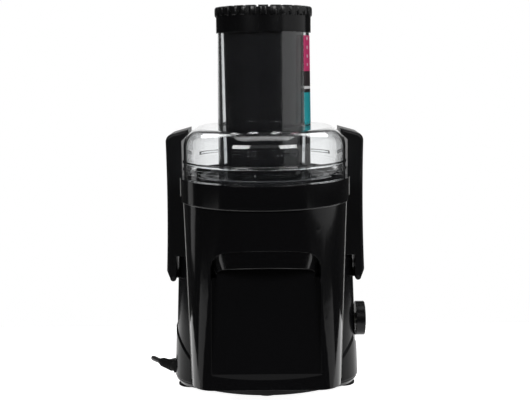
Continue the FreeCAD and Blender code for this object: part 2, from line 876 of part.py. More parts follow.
def make_stator():
    edge = (-s.stator_half_width, s.stator_half_width)
    stack = box("stator_stack", edge, edge, (s.stator_bottom, stator_top))
    window_half = s.coil_half_width + s.slip_gap
    holes = [
        cylinder("stator_bore", s.stator_bore_radius, s.stator_height + PAST * 2, z=s.stator_bottom - PAST),
        box("stator_window", (-window_half, window_half), (-s.coil_window_reach, s.coil_window_reach),
            (s.stator_bottom - PAST, stator_top + PAST)),
    ]
    for index, (x, y) in enumerate(bolt_spots):
        holes.append(cylinder(f"stator_bolt_hole_{index}", s.bolt_radius + s.seat_gap,
                              s.stator_height + PAST * 2, x, y, s.stator_bottom - PAST))
    node(cut("stator_cut", stack, *holes), "stator_core")

    coils = []
    far = s.coil_window_reach - s.slip_gap
    for side in (-1, 1):
        reach = sorted((side * far, side * (far - s.coil_depth)), key=number_of)
        coils.append(box(f"field_coil_{side + 1}", (-s.coil_half_width, s.coil_half_width), reach,
                         (s.stator_bottom - s.coil_overhang, stator_top + s.coil_overhang)))
    node(group("field_coil_pair", coils), "field_coils")


def make_motor_fasteners():
    bolts = []
    for index, (x, y) in enumerate(bolt_spots):
        head = cylinder(f"bolt_head_{index}", s.bolt_head_radius, s.bolt_head_height, x, y,
                        s.lower_bracket_bottom - s.bolt_head_height)
        shank = cylinder(f"bolt_shank_{index}", s.bolt_radius,
                         upper_bracket_top - s.lower_bracket_bottom + PAST, x, y,
                         s.lower_bracket_bottom - PAST)
        bolts.append(fuse(f"bolt_{index}", head, shank))
    node(group("bolt_set", bolts), "motor_bolts")

    grommets, screws = [], []
    for index, (x, y) in enumerate(mount_spots):
        ring = cylinder(f"grommet_ring_{index}", s.mount_boss_radius, s.grommet_height, x, y,
                        upper_bracket_top)
        bore = cylinder(f"grommet_bore_{index}", s.mount_screw_radius + s.seat_gap,
                        s.grommet_height + PAST * 2, x, y, upper_bracket_top - PAST)
        grommets.append(cut(f"grommet_{index}", ring, bore))
        head = cylinder(f"mount_head_{index}", s.mount_screw_head_radius, s.mount_screw_head_height, x, y,
                        s.upper_bracket_bottom - s.mount_screw_head_height)
        shank = cylinder(f"mount_shank_{index}", s.mount_screw_radius, s.mount_screw_length, x, y,
                         s.upper_bracket_bottom - PAST)
        screws.append(fuse(f"mount_screw_{index}", head, shank))
    node(group("grommet_set", grommets), "mount_grommets")
    node(group("mount_screw_set", screws), "mount_screws")


def make_brushes():
    holders, brushes, springs = [], [], []
    slot_half = brush_half + s.seat_gap
    for side in (-1, 1):
        tag = side + 1
        shell_reach = sorted((side * s.brush_holder_inner_reach, side * holder_end), key=number_of)
        slot_reach = sorted((side * (s.brush_holder_inner_reach - PAST),
                             side * (holder_end - s.brush_holder_wall)), key=number_of)
        shell = box(f"holder_shell_{tag}", shell_reach, (-holder_half, holder_half),
                    (brush_centre - holder_half, brush_centre + holder_half))
        slot = box(f"holder_slot_{tag}", slot_reach, (-slot_half, slot_half),
                   (brush_centre - slot_half, brush_centre + slot_half))
        holders.append(cut(f"holder_{tag}", shell, slot))
        brush_reach = sorted((side * brush_start, side * (brush_start + s.brush_length)), key=number_of)
        brushes.append(box(f"brush_{tag}", brush_reach, (-brush_half, brush_half),
                           (brush_centre - brush_half, brush_centre + brush_half)))
        springs.append(cylinder(f"brush_spring_{tag}", s.brush_spring_radius,
                                s.brush_spring_length - s.brush_holder_wall, side * spring_start, 0,
                                brush_centre, "+X" if side > 0 else "-X"))
    node(group("holder_pair", holders), "brush_holders")
    node(group("brush_pair", brushes), "carbon_brushes")
    node(group("brush_spring_pair", springs), "brush_springs")


def make_shaft_seal():
    bottom = tower_top - s.seal_seat_height
    ring = cylinder("seal_ring", s.seal_radius, s.seal_height, z=bottom)
    bore = cylinder("seal_bore", s.shaft_radius + s.seat_gap, s.seal_height + PAST * 2, z=bottom - PAST)
    node(cut("seal_cut", ring, bore), "shaft_seal")


def make_rotor():
    node(cylinder("shaft", s.shaft_radius, s.shaft_top - s.shaft_bottom, z=s.shaft_bottom), "motor_shaft")
    bore_radius = s.shaft_radius + s.seat_gap

    core_radius = s.stator_bore_radius - s.air_gap
    core_bottom = s.stator_bottom + s.armature_inset
    core = cylinder("core_stack", core_radius, s.stator_height - s.armature_inset * 2, z=core_bottom)
    core_cuts = [cylinder("core_bore", bore_radius, s.stator_height, z=s.stator_bottom)]
    for index in range(ARMATURE_SLOTS):
        turn = Rotation(Vector(0, 0, 1), 360 * index / ARMATURE_SLOTS)
        core_cuts.append(box(f"core_slot_{index}", (core_radius - s.armature_slot_depth,
                                                    core_radius + PAST),
                                                    (-s.armature_slot_width / 2, s.armature_slot_width / 2),
                                                    (s.stator_bottom, stator_top), turn))
    node(cut("core_cut", core, *core_cuts), "armature_core")

    rings = []
    gap = s.slip_gap
    lower_bottom = core_bottom - gap - s.winding_height
    upper_bottom = stator_top - s.armature_inset + gap
    for name, bottom in (("lower", lower_bottom), ("upper", upper_bottom)):
        ring = cylinder(f"{name}_winding_ring", s.winding_radius, s.winding_height, z=bottom)
        hole = cylinder(f"{name}_winding_bore", bore_radius, s.winding_height + PAST * 2, z=bottom - PAST)
        rings.append(cut(f"{name}_winding", ring, hole))
    node(group("winding_pair", rings), "armature_windings")

    drum = cylinder("commutator_drum", s.commutator_radius, s.commutator_height, z=s.commutator_bottom)
    drum_bore = cylinder("commutator_bore", bore_radius, s.commutator_height + PAST * 2,
                         z=s.commutator_bottom - PAST)
    node(cut("commutator_cut", drum, drum_bore), "commutator")

    plate_top = s.fan_plate_bottom + s.fan_plate_thickness
    hub = turned("fan_hub", [
        (bore_radius, s.fan_bottom),
        (s.fan_hub_radius, s.fan_bottom),
        (s.fan_hub_radius, s.fan_plate_bottom),
        (s.fan_radius, s.fan_plate_bottom),
        (s.fan_radius, plate_top),
        (s.fan_hub_radius, plate_top),
        (s.fan_hub_radius, s.fan_top),
        (bore_radius, s.fan_top),
    ])
    blades = []
    for index in range(FAN_BLADES):
        turn = Rotation(Vector(0, 0, 1), 360 * index / FAN_BLADES)
        blades.append(box(f"fan_blade_{index}", (s.fan_hub_radius - PAST,
                                                 s.fan_radius - s.fan_blade_thickness),
                                                 (-s.fan_blade_thickness / 2, s.fan_blade_thickness / 2),
                                                 (s.fan_plate_bottom, s.fan_top), turn))
    node(fuse("fan", hub, *blades), "cooling_fan")


# Drive coupling and sieve basket

def make_basket():
    bore_radius = s.shaft_radius + s.seat_gap
    bottom = tower_top + s.slip_gap * 2
    shoulder = bottom + s.coupling_shoulder
    top = bottom + s.coupling_height
    socket_top = s.shaft_top + s.slip_gap
    coupling = turned("coupling", [
        (bore_radius, bottom),
        (s.coupling_radius, bottom),
        (s.coupling_radius, shoulder),
        (s.coupling_nose_radius, top),
        (0, top),
        (0, socket_top),
        (bore_radius, socket_top),
    ])
    node(coupling, "drive_coupling")

    hub_radius = s.coupling_radius + s.slip_gap
    hub_bottom = bottom + s.slip_gap * 4
    disc_bottom = s.grater_height - s.hub_disc_thickness
    hub = turned("basket_hub", [
        (hub_radius, hub_bottom),
        (hub_radius + s.hub_wall, hub_bottom),
        (hub_radius + s.hub_wall, disc_bottom - s.hub_disc_slope),
        (s.grater_radius, disc_bottom),
        (s.hub_disc_radius, disc_bottom),
        (s.hub_disc_radius, s.grater_height),
        (0, s.grater_height),
        (0, top + s.slip_gap),
        (s.coupling_nose_radius + s.slip_gap, top + s.slip_gap),
        (hub_radius, shoulder + s.slip_gap),
    ])
    node(hub, "sieve_hub")

    disc_top = s.grater_height + s.grater_thickness
    disc = turned("grater", [
        (0, s.grater_height),
        (s.grater_radius, s.grater_height),
        (s.grater_radius, disc_top),
        (s.grater_boss_radius, disc_top),
        (s.grater_boss_radius - s.grater_boss_taper, s.grater_height + s.grater_boss_height),
        (0, s.grater_height + s.grater_boss_height),
    ])
    node(disc, "grating_disc")

    foot_inner = s.grater_radius + s.wall_gap
    foot_top = s.grater_height + s.sieve_wall
    sieve = turned("sieve", [
        (foot_inner, s.grater_height),
        (s.sieve_bottom_radius, s.grater_height),
        (s.sieve_top_radius, s.sieve_top),
        (s.sieve_top_radius - s.sieve_wall, s.sieve_top),
        (s.sieve_bottom_radius - s.sieve_wall, foot_top),
        (foot_inner, foot_top),
    ])
    node(sieve, "sieve_basket")

    rim = turned("rim", [
        (s.rim_inner_radius, s.sieve_top),
        (s.rim_radius - s.rim_taper, s.sieve_top),
        (s.rim_radius, s.sieve_top + s.rim_height),
        (s.rim_inner_radius, s.sieve_top + s.rim_height),
    ])
    node(rim, "basket_rim")


# Juice bowl with its floor and spout

def make_bowl():
    """The bowl's wall, open towards the pulp container, on a floor with a collar round the shaft."""
    inner_foot = s.bowl_foot_radius - s.bowl_wall
    inner_rim = s.bowl_radius - s.bowl_wall
    wall = turned("bowl_wall_ring", [
        (s.bowl_foot_radius, bowl_floor_top),
        (s.bowl_radius, ledge_bottom),
        (s.bowl_ledge_radius, ledge_bottom),
        (s.bowl_ledge_radius, ledge_top),
        (s.bowl_radius, ledge_top),
        (s.bowl_radius, spigot_top),
        (inner_rim, spigot_top),
        (inner_foot, bowl_floor_top),
    ])
    reach = s.bowl_ledge_radius + PAST
    front = box("bowl_front_opening", (-reach, reach), (-reach, -s.bowl_front_start),
                (s.bowl_front_rim, spigot_top + PAST))
    node(cut("bowl", wall, spout_bore("bowl_outlet"), front), "juice_bowl")

    collar_inner = s.tower_radius + s.wall_gap
    collar_outer = collar_inner + s.bowl_wall
    collar_top = s.deck_top + s.bowl_collar_height
    ring_inner = s.bowl_ring_radius - s.bowl_wall
    floor = turned("bowl_floor_plate", [
        (collar_inner, bowl_floor),
        (ring_inner, bowl_floor),
        (ring_inner, s.deck_top),
        (s.bowl_ring_radius, s.deck_top),
        (s.bowl_ring_radius, bowl_floor),
        (s.bowl_foot_radius, bowl_floor),
        (s.bowl_foot_radius, bowl_floor_top),
        (collar_outer, bowl_floor_top),
        (collar_outer, collar_top),
        (collar_inner, collar_top),
    ])
    node(floor, "bowl_floor")


def spout_cylinder(name, radius, start, length):
    """A cylinder along the spout, which drops a little on its way out."""
    drop = Rotation(Vector(1, 0, 0), -90 - number_of(s.spout_drop_angle))
    return cylinder(name, radius, length, 0, start, s.spout_start_height, drop)


def spout_bore(name):
    return spout_cylinder(name, s.spout_radius - s.bowl_wall, s.spout_start, s.spout_length + PAST)


def make_spout():
    tube = spout_cylinder("spout_tube", s.spout_radius, s.spout_start, s.spout_length)
    low = bowl_floor - s.spout_radius
    bowl_side = turned("spout_bowl_side", [
        (0, low),
        (s.bowl_foot_radius + s.seat_gap, low),
        (s.bowl_foot_radius + s.seat_gap, bowl_floor_top),
        (s.bowl_radius + s.seat_gap, ledge_bottom),
        (0, ledge_bottom),
    ])
    node(cut("spout", tube, bowl_side, spout_bore("spout_inside")), "juice_spout")


# Lid, pusher and clamps

def lid_outline(grow):
    """Two half circles joined by straight sides, longer towards the pulp container."""
    width = s.lid_half_width + grow
    centre = s.lid_nose_centre
    return [
        (width, 0, width),
        (0, width, width),
        (-width, 0),
        (-width, -centre, width),
        (0, -centre - width, width),
        (width, -centre),
    ]


def make_lid():
    dome = prism("lid_dome", lid_outline(0), s.lid_top - s.lid_bottom, s.lid_bottom)
    round_edges(dome, s.lid_shoulder_radius, level_at(number_of(s.lid_top - s.lid_bottom)))
    flange = prism("lid_flange", lid_outline(s.lid_flange_reach), s.lid_flange_thickness,
                   s.lid_flange_bottom)
    cavity_height = s.lid_top - s.lid_wall - s.lid_bottom
    cavity = prism("lid_cavity", lid_outline(-s.lid_wall), cavity_height, s.lid_bottom)
    round_edges(cavity, s.lid_shoulder_radius - s.lid_wall, level_at(number_of(cavity_height)))
    tube_height = s.tube_top - s.tube_bottom
    tube = cone("lid_tube", s.tube_bottom_radius, s.tube_top_radius, tube_height, z=s.tube_bottom)
    bore = cone("lid_tube_bore", s.tube_bore_bottom_radius, s.tube_bore_top_radius, tube_height,
                z=s.tube_bottom)
    shell = cut("lid_shell", fuse("lid_outside", dome, flange), cavity)
    node(cut("lid_cut", fuse("lid_with_tube", shell, tube), bore), "lid")


def make_pusher():
    head_bottom = s.tube_top + s.seat_gap
    head_top = head_bottom + s.pusher_head_height
    wall = s.pusher_wall
    cup = turned("pusher", [
        (0, s.pusher_bottom),
        (s.pusher_bottom_radius, s.pusher_bottom),
        (s.pusher_top_radius, head_bottom),
        (s.pusher_head_radius, head_bottom),
        (s.pusher_head_radius, head_top),
        (s.pusher_head_radius - wall, head_top),
        (s.pusher_head_radius - wall, head_bottom + wall),
        (s.pusher_top_radius - wall, head_bottom),
        (s.pusher_bottom_radius - wall, s.pusher_bottom + wall),
        (0, s.pusher_bottom + wall),
    ])
    node(cup, "pusher_cup")

    ring_top = head_top + s.grip_height
    ring_inner = s.pusher_head_radius - wall
    ring = turned("grip", [
        (ring_inner, head_top),
        (s.grip_radius, head_top),
        (s.grip_radius, ring_top),
        (ring_inner, ring_top),
    ])
    notches = []
    for index in range(GRIP_NOTCHES):
        turn = Rotation(Vector(0, 0, 1), 360 * (index + 0.5) / GRIP_NOTCHES)
        notches.append(box(f"grip_notch_{index}", (ring_inner - PAST, s.grip_radius + PAST),
                           (-s.grip_notch_width / 2, s.grip_notch_width / 2),
                           (ring_top - s.grip_notch_depth, ring_top + PAST), turn))
    node(cut("grip_cut", ring, *notches), "pusher_grip_ring")


def mirrored(outline):
    """The same outline on the other side, drawn in the same sense."""
    corners = outline[::-1]
    arcs = corners[1:] + corners[:1]
    return [(-x, y, *arc[2:]) for (x, y, *_), arc in zip(corners, arcs)]


def clamp_outline():
    """The arm seen from the pulp container: pin end below, hook over the lid's shoulder above."""
    eye = s.clamp_eye_radius
    shoulder_x = s.lid_half_width - s.lid_shoulder_radius
    shoulder_z = s.lid_top - s.lid_shoulder_radius
    slope = shoulder_x + shoulder_z + (s.lid_shoulder_radius + s.slip_gap) * math.sqrt(2)
    hook = s.lid_half_width - s.clamp_hook_overlap
    beside_lid = s.lid_half_width + s.lid_flange_reach + s.clamp_lid_gap
    widened = ledge_bottom - s.clamp_ledge_gap
    return [
        (clamp_inner_low, pin_height, eye),
        (pin_reach, pin_height - eye, eye),
        (pin_reach + eye, pin_height),
        (pin_reach + s.clamp_foot_reach, pin_height + s.clamp_foot_rise, s.clamp_bow_radius, "inward"),
        (pin_reach + s.clamp_head_reach, s.lid_top - s.clamp_head_drop),
        (hook, s.lid_top - s.clamp_hook_drop),
        (hook, slope - hook),
        (beside_lid, slope - beside_lid),
        (beside_lid, widened),
        (clamp_waist, waist_top),
        (clamp_waist, waist_bottom),
        (clamp_inner_low, waist_bottom),
    ]


def is_clamp_border(bounds):
    """A test for the edges along both sides of a clamp's outer face and its sloped top."""
    foot = number_of(pin_height + s.clamp_foot_rise)
    outside = min(abs(bounds.XMin), abs(bounds.XMax)) > number_of(pin_reach)
    on_top = bounds.ZMin > number_of(s.lid_top - s.clamp_head_drop)
    on_face = outside and bounds.ZMin > foot - TOLERANCE
    return bounds.YLength < TOLERANCE and (on_top or on_face)


def make_clamps():
    half = s.clamp_half_width
    pocket_half = half - s.clamp_wall
    liner_bottom = waist_bottom + s.liner_margin
    liner_top = waist_top - s.liner_margin
    for side, name in ((1, "right_clamp"), (-1, "left_clamp")):
        outline = clamp_outline() if side > 0 else mirrored(clamp_outline())
        arm = prism(f"{name}_arm", outline, half * 2, half, "XZ_Plane")
        round_edges(arm, s.clamp_crown_radius, level_at(number_of(s.lid_top - s.clamp_head_drop)))
        round_edges(arm, s.clamp_edge_radius, is_clamp_border)

        pocket_reach = sorted((side * (clamp_waist - PAST), side * (clamp_waist + s.clamp_pocket_depth)),
                              key=number_of)
        pocket = box(f"{name}_pocket", pocket_reach, (-pocket_half, pocket_half), (liner_bottom, liner_top))
        bore = cylinder(f"{name}_bore", s.pin_radius + s.seat_gap, (half + PAST) * 2, side * pin_reach,
                        -half - PAST, pin_height, "+Y")
        slot_half = s.ear_half_width + s.clamp_side_gap
        slot_end = pin_reach + s.clamp_foot_reach + PAST
        slot_reach = sorted((side * (clamp_inner_low - PAST), side * slot_end), key=number_of)
        slot = box(f"{name}_slot", slot_reach, (-slot_half, slot_half),
                   (pin_height - s.clamp_eye_radius - PAST, pin_height + s.ear_radius + s.wall_gap / 2))
        node(cut(f"{name}_cut", arm, pocket, bore, slot), name)

        liner_reach = sorted((side * clamp_waist, side * (clamp_waist + s.liner_thickness)), key=number_of)
        liner_half = pocket_half - s.seat_gap
        node(box(f"{name}_cover", liner_reach, (-liner_half, liner_half),
                 (liner_bottom + s.seat_gap, liner_top - s.seat_gap)), f"{name}_liner")
    pins = [
        cylinder(f"pin_{side + 1}", s.pin_radius, half * 2, side * pin_reach, -half, pin_height, "+Y")
        for side in (-1, 1)
    ]
    node(group("pin_pair", pins), "clamp_pins")


# Pulp container

def container_bottom_outline(inset):
    width = s.container_bottom_half_width - inset
    front = s.container_bottom_front - inset
    corner = s.container_bottom_corner - inset
    back = container_back + inset
    return [
        (width, -back),
        (-width, -back),
        (-width, corner - front, corner),
        (corner - width, -front),
        (width - corner, -front, corner),
        (width, corner - front),
    ]


def container_top_outline(width, inset):
    """The front half of the lid's outline, cut into the same edges as the bottom."""
    radius = width - inset
    centre = s.lid_nose_centre
    diagonal = radius * math.sqrt(0.5)
    back = container_back + inset
    return [
        (radius, -back),
        (-radius, -back),
        (-radius, -centre, radius),
        (-diagonal, -centre - diagonal, radius),
        (diagonal, -centre - diagonal, radius),
        (radius, -centre),
    ]


def hold_outline(rise, spread):
    """The hand hold seen from the front: an arch with round corners."""
    width = s.hold_half_width + spread
    inner = width - s.hold_corner_width
    top = s.hold_lip + rise
    low = container_bottom - PAST
    return [
        (-width, low),
        (width, low),
        (width, top - s.hold_corner_drop, s.hold_corner_radius),
        (inner, top, s.hold_arch_radius),
        (-inner, top, s.hold_corner_radius),
        (-width, top - s.hold_corner_drop),
    ]


def hold_wedge(name, grow):
    """The hand hold's side profile: deep under the lip, fading out towards the bottom."""
    front = s.container_bottom_front
    away = front + s.hold_depth
    lip = s.hold_lip + s.hold_corner_drop / 3 + grow
    deep = s.hold_depth + grow
    profile = [
        (-away, lip + deep),
        (-front, lip + deep),
        (deep - front, lip),
        (s.hold_fade_depth + grow - front, s.hold_fade_height - grow),
        (-front - s.hold_fade_depth * 2, container_bottom - grow),
        (-away, container_bottom - grow),
    ]
    width = s.hold_half_width + s.hold_corner_width
    return prism(name, profile, width * 2, -width, "YZ_Plane")


def hold_arch(name, rise, spread):
    """The hand hold's outline as a block that reaches through the container's front."""
    front = s.container_bottom_front
    return prism(name, hold_outline(rise, spread), s.hold_depth * 2, s.hold_depth * 1.5 - front, "XZ_Plane")


def hold_bevel(name, grow):
    """The bevel above the lip: outside a cone that goes deeper towards the lip."""
    radius = s.container_top_half_width - grow
    top = s.hold_lip + s.hold_bevel_height + s.hold_corner_drop / 3 + grow
    lip = top - s.hold_bevel_height - s.hold_corner_drop
    away = radius + s.hold_depth
    ring = turned(f"{name}_ring", [
        (radius, top),
        (radius - s.hold_bevel_depth, lip),
        (away, lip),
        (away, top),
    ])
    place(ring, 0, -s.lid_nose_centre)
    return common(name, ring, hold_arch(f"{name}_arch", s.hold_bevel_height + grow, grow))


def make_container():
    collar_bottom = container_top - s.container_collar_height
    wall = s.container_wall
    outer = lofted("container_outer", [
        (container_bottom_outline(0), container_bottom),
        (container_top_outline(s.container_top_half_width, 0), collar_bottom),
    ])
    collar_width = s.container_top_half_width + s.container_collar_reach
    collar = prism("container_collar", container_top_outline(collar_width, 0), s.container_collar_height,
                   collar_bottom)
    inner = lofted("container_inner", [
        (container_bottom_outline(wall), container_bottom + wall),
        (container_top_outline(s.container_top_half_width, wall), collar_bottom),
    ])
    mouth = prism("container_mouth", container_top_outline(s.container_top_half_width, wall),
                  s.container_collar_height + PAST, collar_bottom)
    bowl_clear = s.bowl_radius + s.wall_gap
    bowl_bottom = s.deck_top - s.wall_gap
    high = container_top - bowl_bottom + PAST
    bowl_space = cylinder("container_bowl_space", bowl_clear, high, z=bowl_bottom)
    bowl_backing = cylinder("container_bowl_backing", bowl_clear + wall, high + wall, z=bowl_bottom - wall)
    back_rim = cylinder("container_back_rim", bowl_clear + wall + PAST, high, z=s.container_back_rim)

    recess = common("hold_recess", hold_arch("hold_arch", 0, 0), hold_wedge("hold_wedge", 0))
    backing_arch = hold_arch("hold_backing_arch", s.hold_bevel_height + wall, wall)
    backing = common("hold_backing", backing_arch, hold_wedge("hold_backing_wedge", wall))
    bevel = hold_bevel("hold_bevel", 0)
    bevel_backing = hold_bevel("hold_bevel_backing", wall)

    cavity = cut("container_cavity", fuse("container_inside", inner, mouth), bowl_backing, backing,
                 bevel_backing)
    body = fuse("container_body", outer, collar)
    shell = cut("container_shell", body, bowl_space, recess, bevel)
    hollow = cut("container_hollow", shell, cavity)
    node(cut("container", hollow, back_rim), "pulp_container")


# Knob and electrics

def make_knob():
    """The knob with its pointer groove, on the switch's spindle."""
    bore = s.spindle_radius + s.seat_gap
    face = knob_back + s.knob_depth
    socket = face - s.knob_face_thickness
    turn = turned("knob_turned", [
        (bore, knob_back),
        (s.knob_radius, knob_back),
        (s.knob_radius, face - s.knob_edge),
        (s.knob_radius - s.knob_edge, face),
        (0, face),
        (0, socket),
        (bore, socket),
    ])
    place(turn, 0, 0, s.knob_height, ALONG["+X"])
    mark_top = s.knob_height + s.knob_radius
    mark = box("knob_mark", (face - s.knob_mark_depth, face + PAST),
               (-s.knob_mark_width / 2, s.knob_mark_width / 2), (mark_top - s.knob_mark_length,
                                                                 mark_top + PAST))
    node(cut("knob", turn, mark), "speed_knob")
    node(cylinder("spindle", s.spindle_radius, socket - s.seat_gap - s.spindle_inner_end,
                  s.spindle_inner_end, 0, s.knob_height, "+X"), "knob_spindle")


def make_switches():
    case_top = s.knob_height + s.switch_half_height
    face = base_half_width(case_top) - s.base_wall - s.wall_gap * 2
    neck_end = knob_back - s.slip_gap
    case = box("switch_case", (s.switch_back, face), (-s.switch_half_width, s.switch_half_width),
               (s.knob_height - s.switch_half_height, case_top))
    neck = cylinder("switch_neck", s.switch_neck_radius, neck_end - face + PAST, face - PAST, 0,
                    s.knob_height, "+X")
    hole = cylinder("switch_spindle_hole", s.spindle_radius + s.seat_gap,
                    neck_end - s.spindle_inner_end + PAST, s.spindle_inner_end - s.seat_gap, 0,
                    s.knob_height, "+X")
    node(cut("switch", fuse("switch_solid", case, neck), hole), "rotary_switch")

    tip = clamp_inner_low - s.slip_gap
    rod = cylinder("plunger_rod", s.plunger_radius, tip - s.plunger_inner_end, s.plunger_inner_end, 0,
                   plunger_height, "+X")
    collar = cylinder("plunger_collar", s.plunger_collar_radius, s.plunger_collar_width,
                      s.plunger_collar_start, 0, plunger_height, "+X")
    node(fuse("plunger", rod, collar), "safety_plunger")

    switch_end = s.plunger_inner_end - s.slip_gap
    node(box("safety_case", (switch_end - s.safety_switch_length, switch_end),
             (-s.safety_switch_half_width, s.safety_switch_half_width),
             (deck_bottom - s.safety_switch_height, deck_bottom)), "safety_switch")
    node(box("capacitor", (-s.capacitor_width / 2, s.capacitor_width / 2),
             (s.capacitor_y - s.capacitor_depth / 2, s.capacitor_y + s.capacitor_depth / 2),
             (cover_top, cover_top + s.capacitor_height)), "suppressor_capacitor")


# Mains lead with its strain relief, coil and plug

BOOT_WAY = Vector(-0.68, 0.733, 0).normalize()
LEAD_FIRST_RUN = 8.0
LEAD_LAST_RUN = 30.0


def make_strain_relief():
    flange_end = -gland_wall - s.gland_flange_thickness
    flange = cylinder("gland_flange", s.gland_flange_radius, s.gland_flange_thickness,
                      -gland_wall - s.seat_gap, s.gland_y, s.gland_height, "-X")
    neck = cylinder("gland_neck", s.gland_neck_radius, s.gland_neck_length,
                    s.gland_neck_length + flange_end, s.gland_y, s.gland_height, "-X")
    tilt = Rotation(Vector(0, 0, 1), BOOT_WAY)
    boot = cone("gland_boot", s.boot_root_radius, s.boot_tip_radius, s.boot_length, flange_end,
                s.gland_y, s.gland_height, tilt)
    elbow = ball("gland_elbow", s.boot_root_radius, flange_end, s.gland_y, s.gland_height)
    node(fuse("gland", flange, neck, boot, elbow), "strain_relief")


def lead_route():
    """The lead's points: out of the boot, down to the table behind it and on to the coil."""
    boot_root = number_of(gland_wall + s.gland_flange_thickness)
    start = Vector(-boot_root, number_of(s.gland_y), number_of(s.gland_height))
    start += BOOT_WAY * number_of(s.boot_length)
    low = coil_bottom()
    end = coil_point(0)
    end -= Vector(2 * number_of(s.lead_radius), 0, 0)
    return [
        start,
        start + BOOT_WAY * LEAD_FIRST_RUN,
        start + Vector(-11.0, 16.5, -1.5),
        start + Vector(-11.2, 32.0, -7.0),
        Vector(start.x - 2.5, start.y + 49.0, low),
        Vector(start.x + 18.0, start.y + 67.5, low),
        Vector(end.x - LEAD_LAST_RUN, end.y, low),
        end,
    ]


def coil_bottom():
    """Height of the lower layer's middle: above the tie that runs under it."""
    return number_of(s.lead_radius) + number_of(s.tie_thickness) + number_of(s.tie_gap)


def coil_point(turns):
    """A point on the coil: spiral in, climb one layer in half a turn, spiral out again."""
    pitch = number_of(s.coil_pitch)
    inward, climb = COIL_TURNS_PER_LAYER, COIL_CLIMB_TURNS
    radius = number_of(s.coil_outer_radius) - pitch * min(turns, inward)
    rise = 0.0
    if turns > inward:
        share = min((turns - inward) / climb, 1)
        rise = number_of(s.coil_layer_rise) * (share - math.sin(2 * math.pi * share) / (2 * math.pi))
        radius -= number_of(s.coil_climb_dip) * math.sin(math.pi * share) ** 2
    if turns > inward + climb:
        radius += pitch * (turns - inward - climb)
    angle = 2 * math.pi * turns - math.pi / 2
    middle = Vector(number_of(s.coil_x), number_of(s.coil_y), coil_bottom() + rise)
    return middle + Vector(math.cos(angle), math.sin(angle), 0) * radius


def coil_way(turns):
    """Direction of the coil at a point, level at both ends."""
    step = TOLERANCE
    if turns <= 0:
        return Vector(1, 0, 0)
    if turns >= COIL_TURNS:
        return Vector(-1, 0, 0)
    return (coil_point(turns + step) - coil_point(turns - step)).normalize()


def arc_edge(start, way, end):
    """The arc from start to end that leaves along a direction."""
    chord = end - start
    along = chord * (way.dot(chord) / chord.Length ** 2)
    side = way - along
    if side.Length < 1e-6:
        return Part.LineSegment(start, end).toShape()
    bend = math.acos(max(-1, min(1, way.dot(chord) / chord.Length)))
    middle = (start + end) * 0.5 + side.normalize() * (chord.Length / 2 * math.tan(bend / 2))
    return Part.Arc(start, middle, end).toShape()


def biarc_edges(start, start_way, end, end_way):
    """Two tangent arcs between two points with given directions."""
    span = end - start
    both = start_way + end_way
    a = 2 * (1 - start_way.dot(end_way))
    b = 2 * span.dot(both)
    c = -span.dot(span)
    reach = -c / b if abs(a) < 1e-9 else (-b + math.sqrt(b * b - 4 * a * c)) / (2 * a)
    meeting = (start + start_way * reach + end - end_way * reach) * 0.5
    first = arc_edge(start, start_way, meeting)
    last = arc_edge(end, end_way * -1, meeting)
    last.reverse()
    return [first, last]


def swept(path_edges, start, way, radius):
    """A round tube along a path."""
    circle = Part.Wire(Part.makeCircle(radius, start, way))
    return Part.Wire(path_edges).makePipeShell([circle], True, False)


def tube_path(points):
    """Straight runs joined by tangent arcs, each as large as its two runs allow."""
    edges, radii = [], []
    at = points[0]
    for before, corner, after in zip(points, points[1:], points[2:]):
        way_in = (corner - before).normalize()
        way_out = (after - corner).normalize()
        turn = way_in.getAngle(way_out)
        cut_back = BEND_SHARE * min((corner - before).Length, (after - corner).Length)
        start, end = corner - way_in * cut_back, corner + way_out * cut_back
        edges.append(Part.LineSegment(at, start).toShape())
        edges.append(arc_edge(start, way_in, end))
        radii.append(cut_back / math.tan(turn / 2))
        at = end
    edges.append(Part.LineSegment(at, points[-1]).toShape())
    return edges, radii


def self_gap(points, apart, diameter):
    """Least gap between stretches of a tube that lie further apart along it than a given length."""
    least = float("inf")
    travelled = [0.0]
    for first, second in zip(points, points[1:]):
        travelled.append(travelled[-1] + (second - first).Length)
    for index, point in enumerate(points):
        for other in range(index + 1, len(points)):
            if travelled[other] - travelled[index] > apart:
                least = min(least, (points[other] - point).Length)
    return least - diameter


def make_lead_and_coil():
    radius = number_of(s.lead_radius)
    route = lead_route()
    edges, radii = tube_path(route)
    lead = doc.addObject("Part::Feature", "lead")
    lead.Shape = swept(edges, route[0], (route[1] - route[0]).normalize(), radius)
    node(lead, "mains_lead")
    lead_length = sum(edge.Length for edge in edges)
    print("lead length", round(lead_length, 1), "bend radii", [round(value, 1) for value in radii])
    print("lead volume share", round(lead.Shape.Volume / (math.pi * radius ** 2 * lead_length), 4))

    count = round(COIL_TURNS * STEPS_PER_TURN)
    stops = [COIL_TURNS * index / count for index in range(count + 1)]
    entry, leave = coil_point(0), coil_point(COIL_TURNS)
    begin = entry - coil_way(0) * 2 * radius
    finish = leave + coil_way(COIL_TURNS) * number_of(s.coil_tail)
    path = [Part.LineSegment(begin, entry).toShape()]
    for first, second in zip(stops, stops[1:]):
        path += biarc_edges(coil_point(first), coil_way(first), coil_point(second), coil_way(second))
    path.append(Part.LineSegment(leave, finish).toShape())
    coil = doc.addObject("Part::Feature", "coil")
    coil.Shape = swept(path, begin, coil_way(0), radius)
    node(coil, "cord_coil")
    coil_length = sum(edge.Length for edge in path)
    samples = [point for edge in path for point in edge.discretize(SAMPLES_PER_EDGE)[:-1]]
    apart = 2 * math.pi * number_of(s.coil_outer_radius) * NEIGHBOUR_TURNS
    gap = self_gap(samples, apart, 2 * radius)
    print("coil length", round(coil_length, 1), "least gap to itself", round(gap, 2))
    print("coil volume share", round(coil.Shape.Volume / (math.pi * radius ** 2 * coil_length), 4))


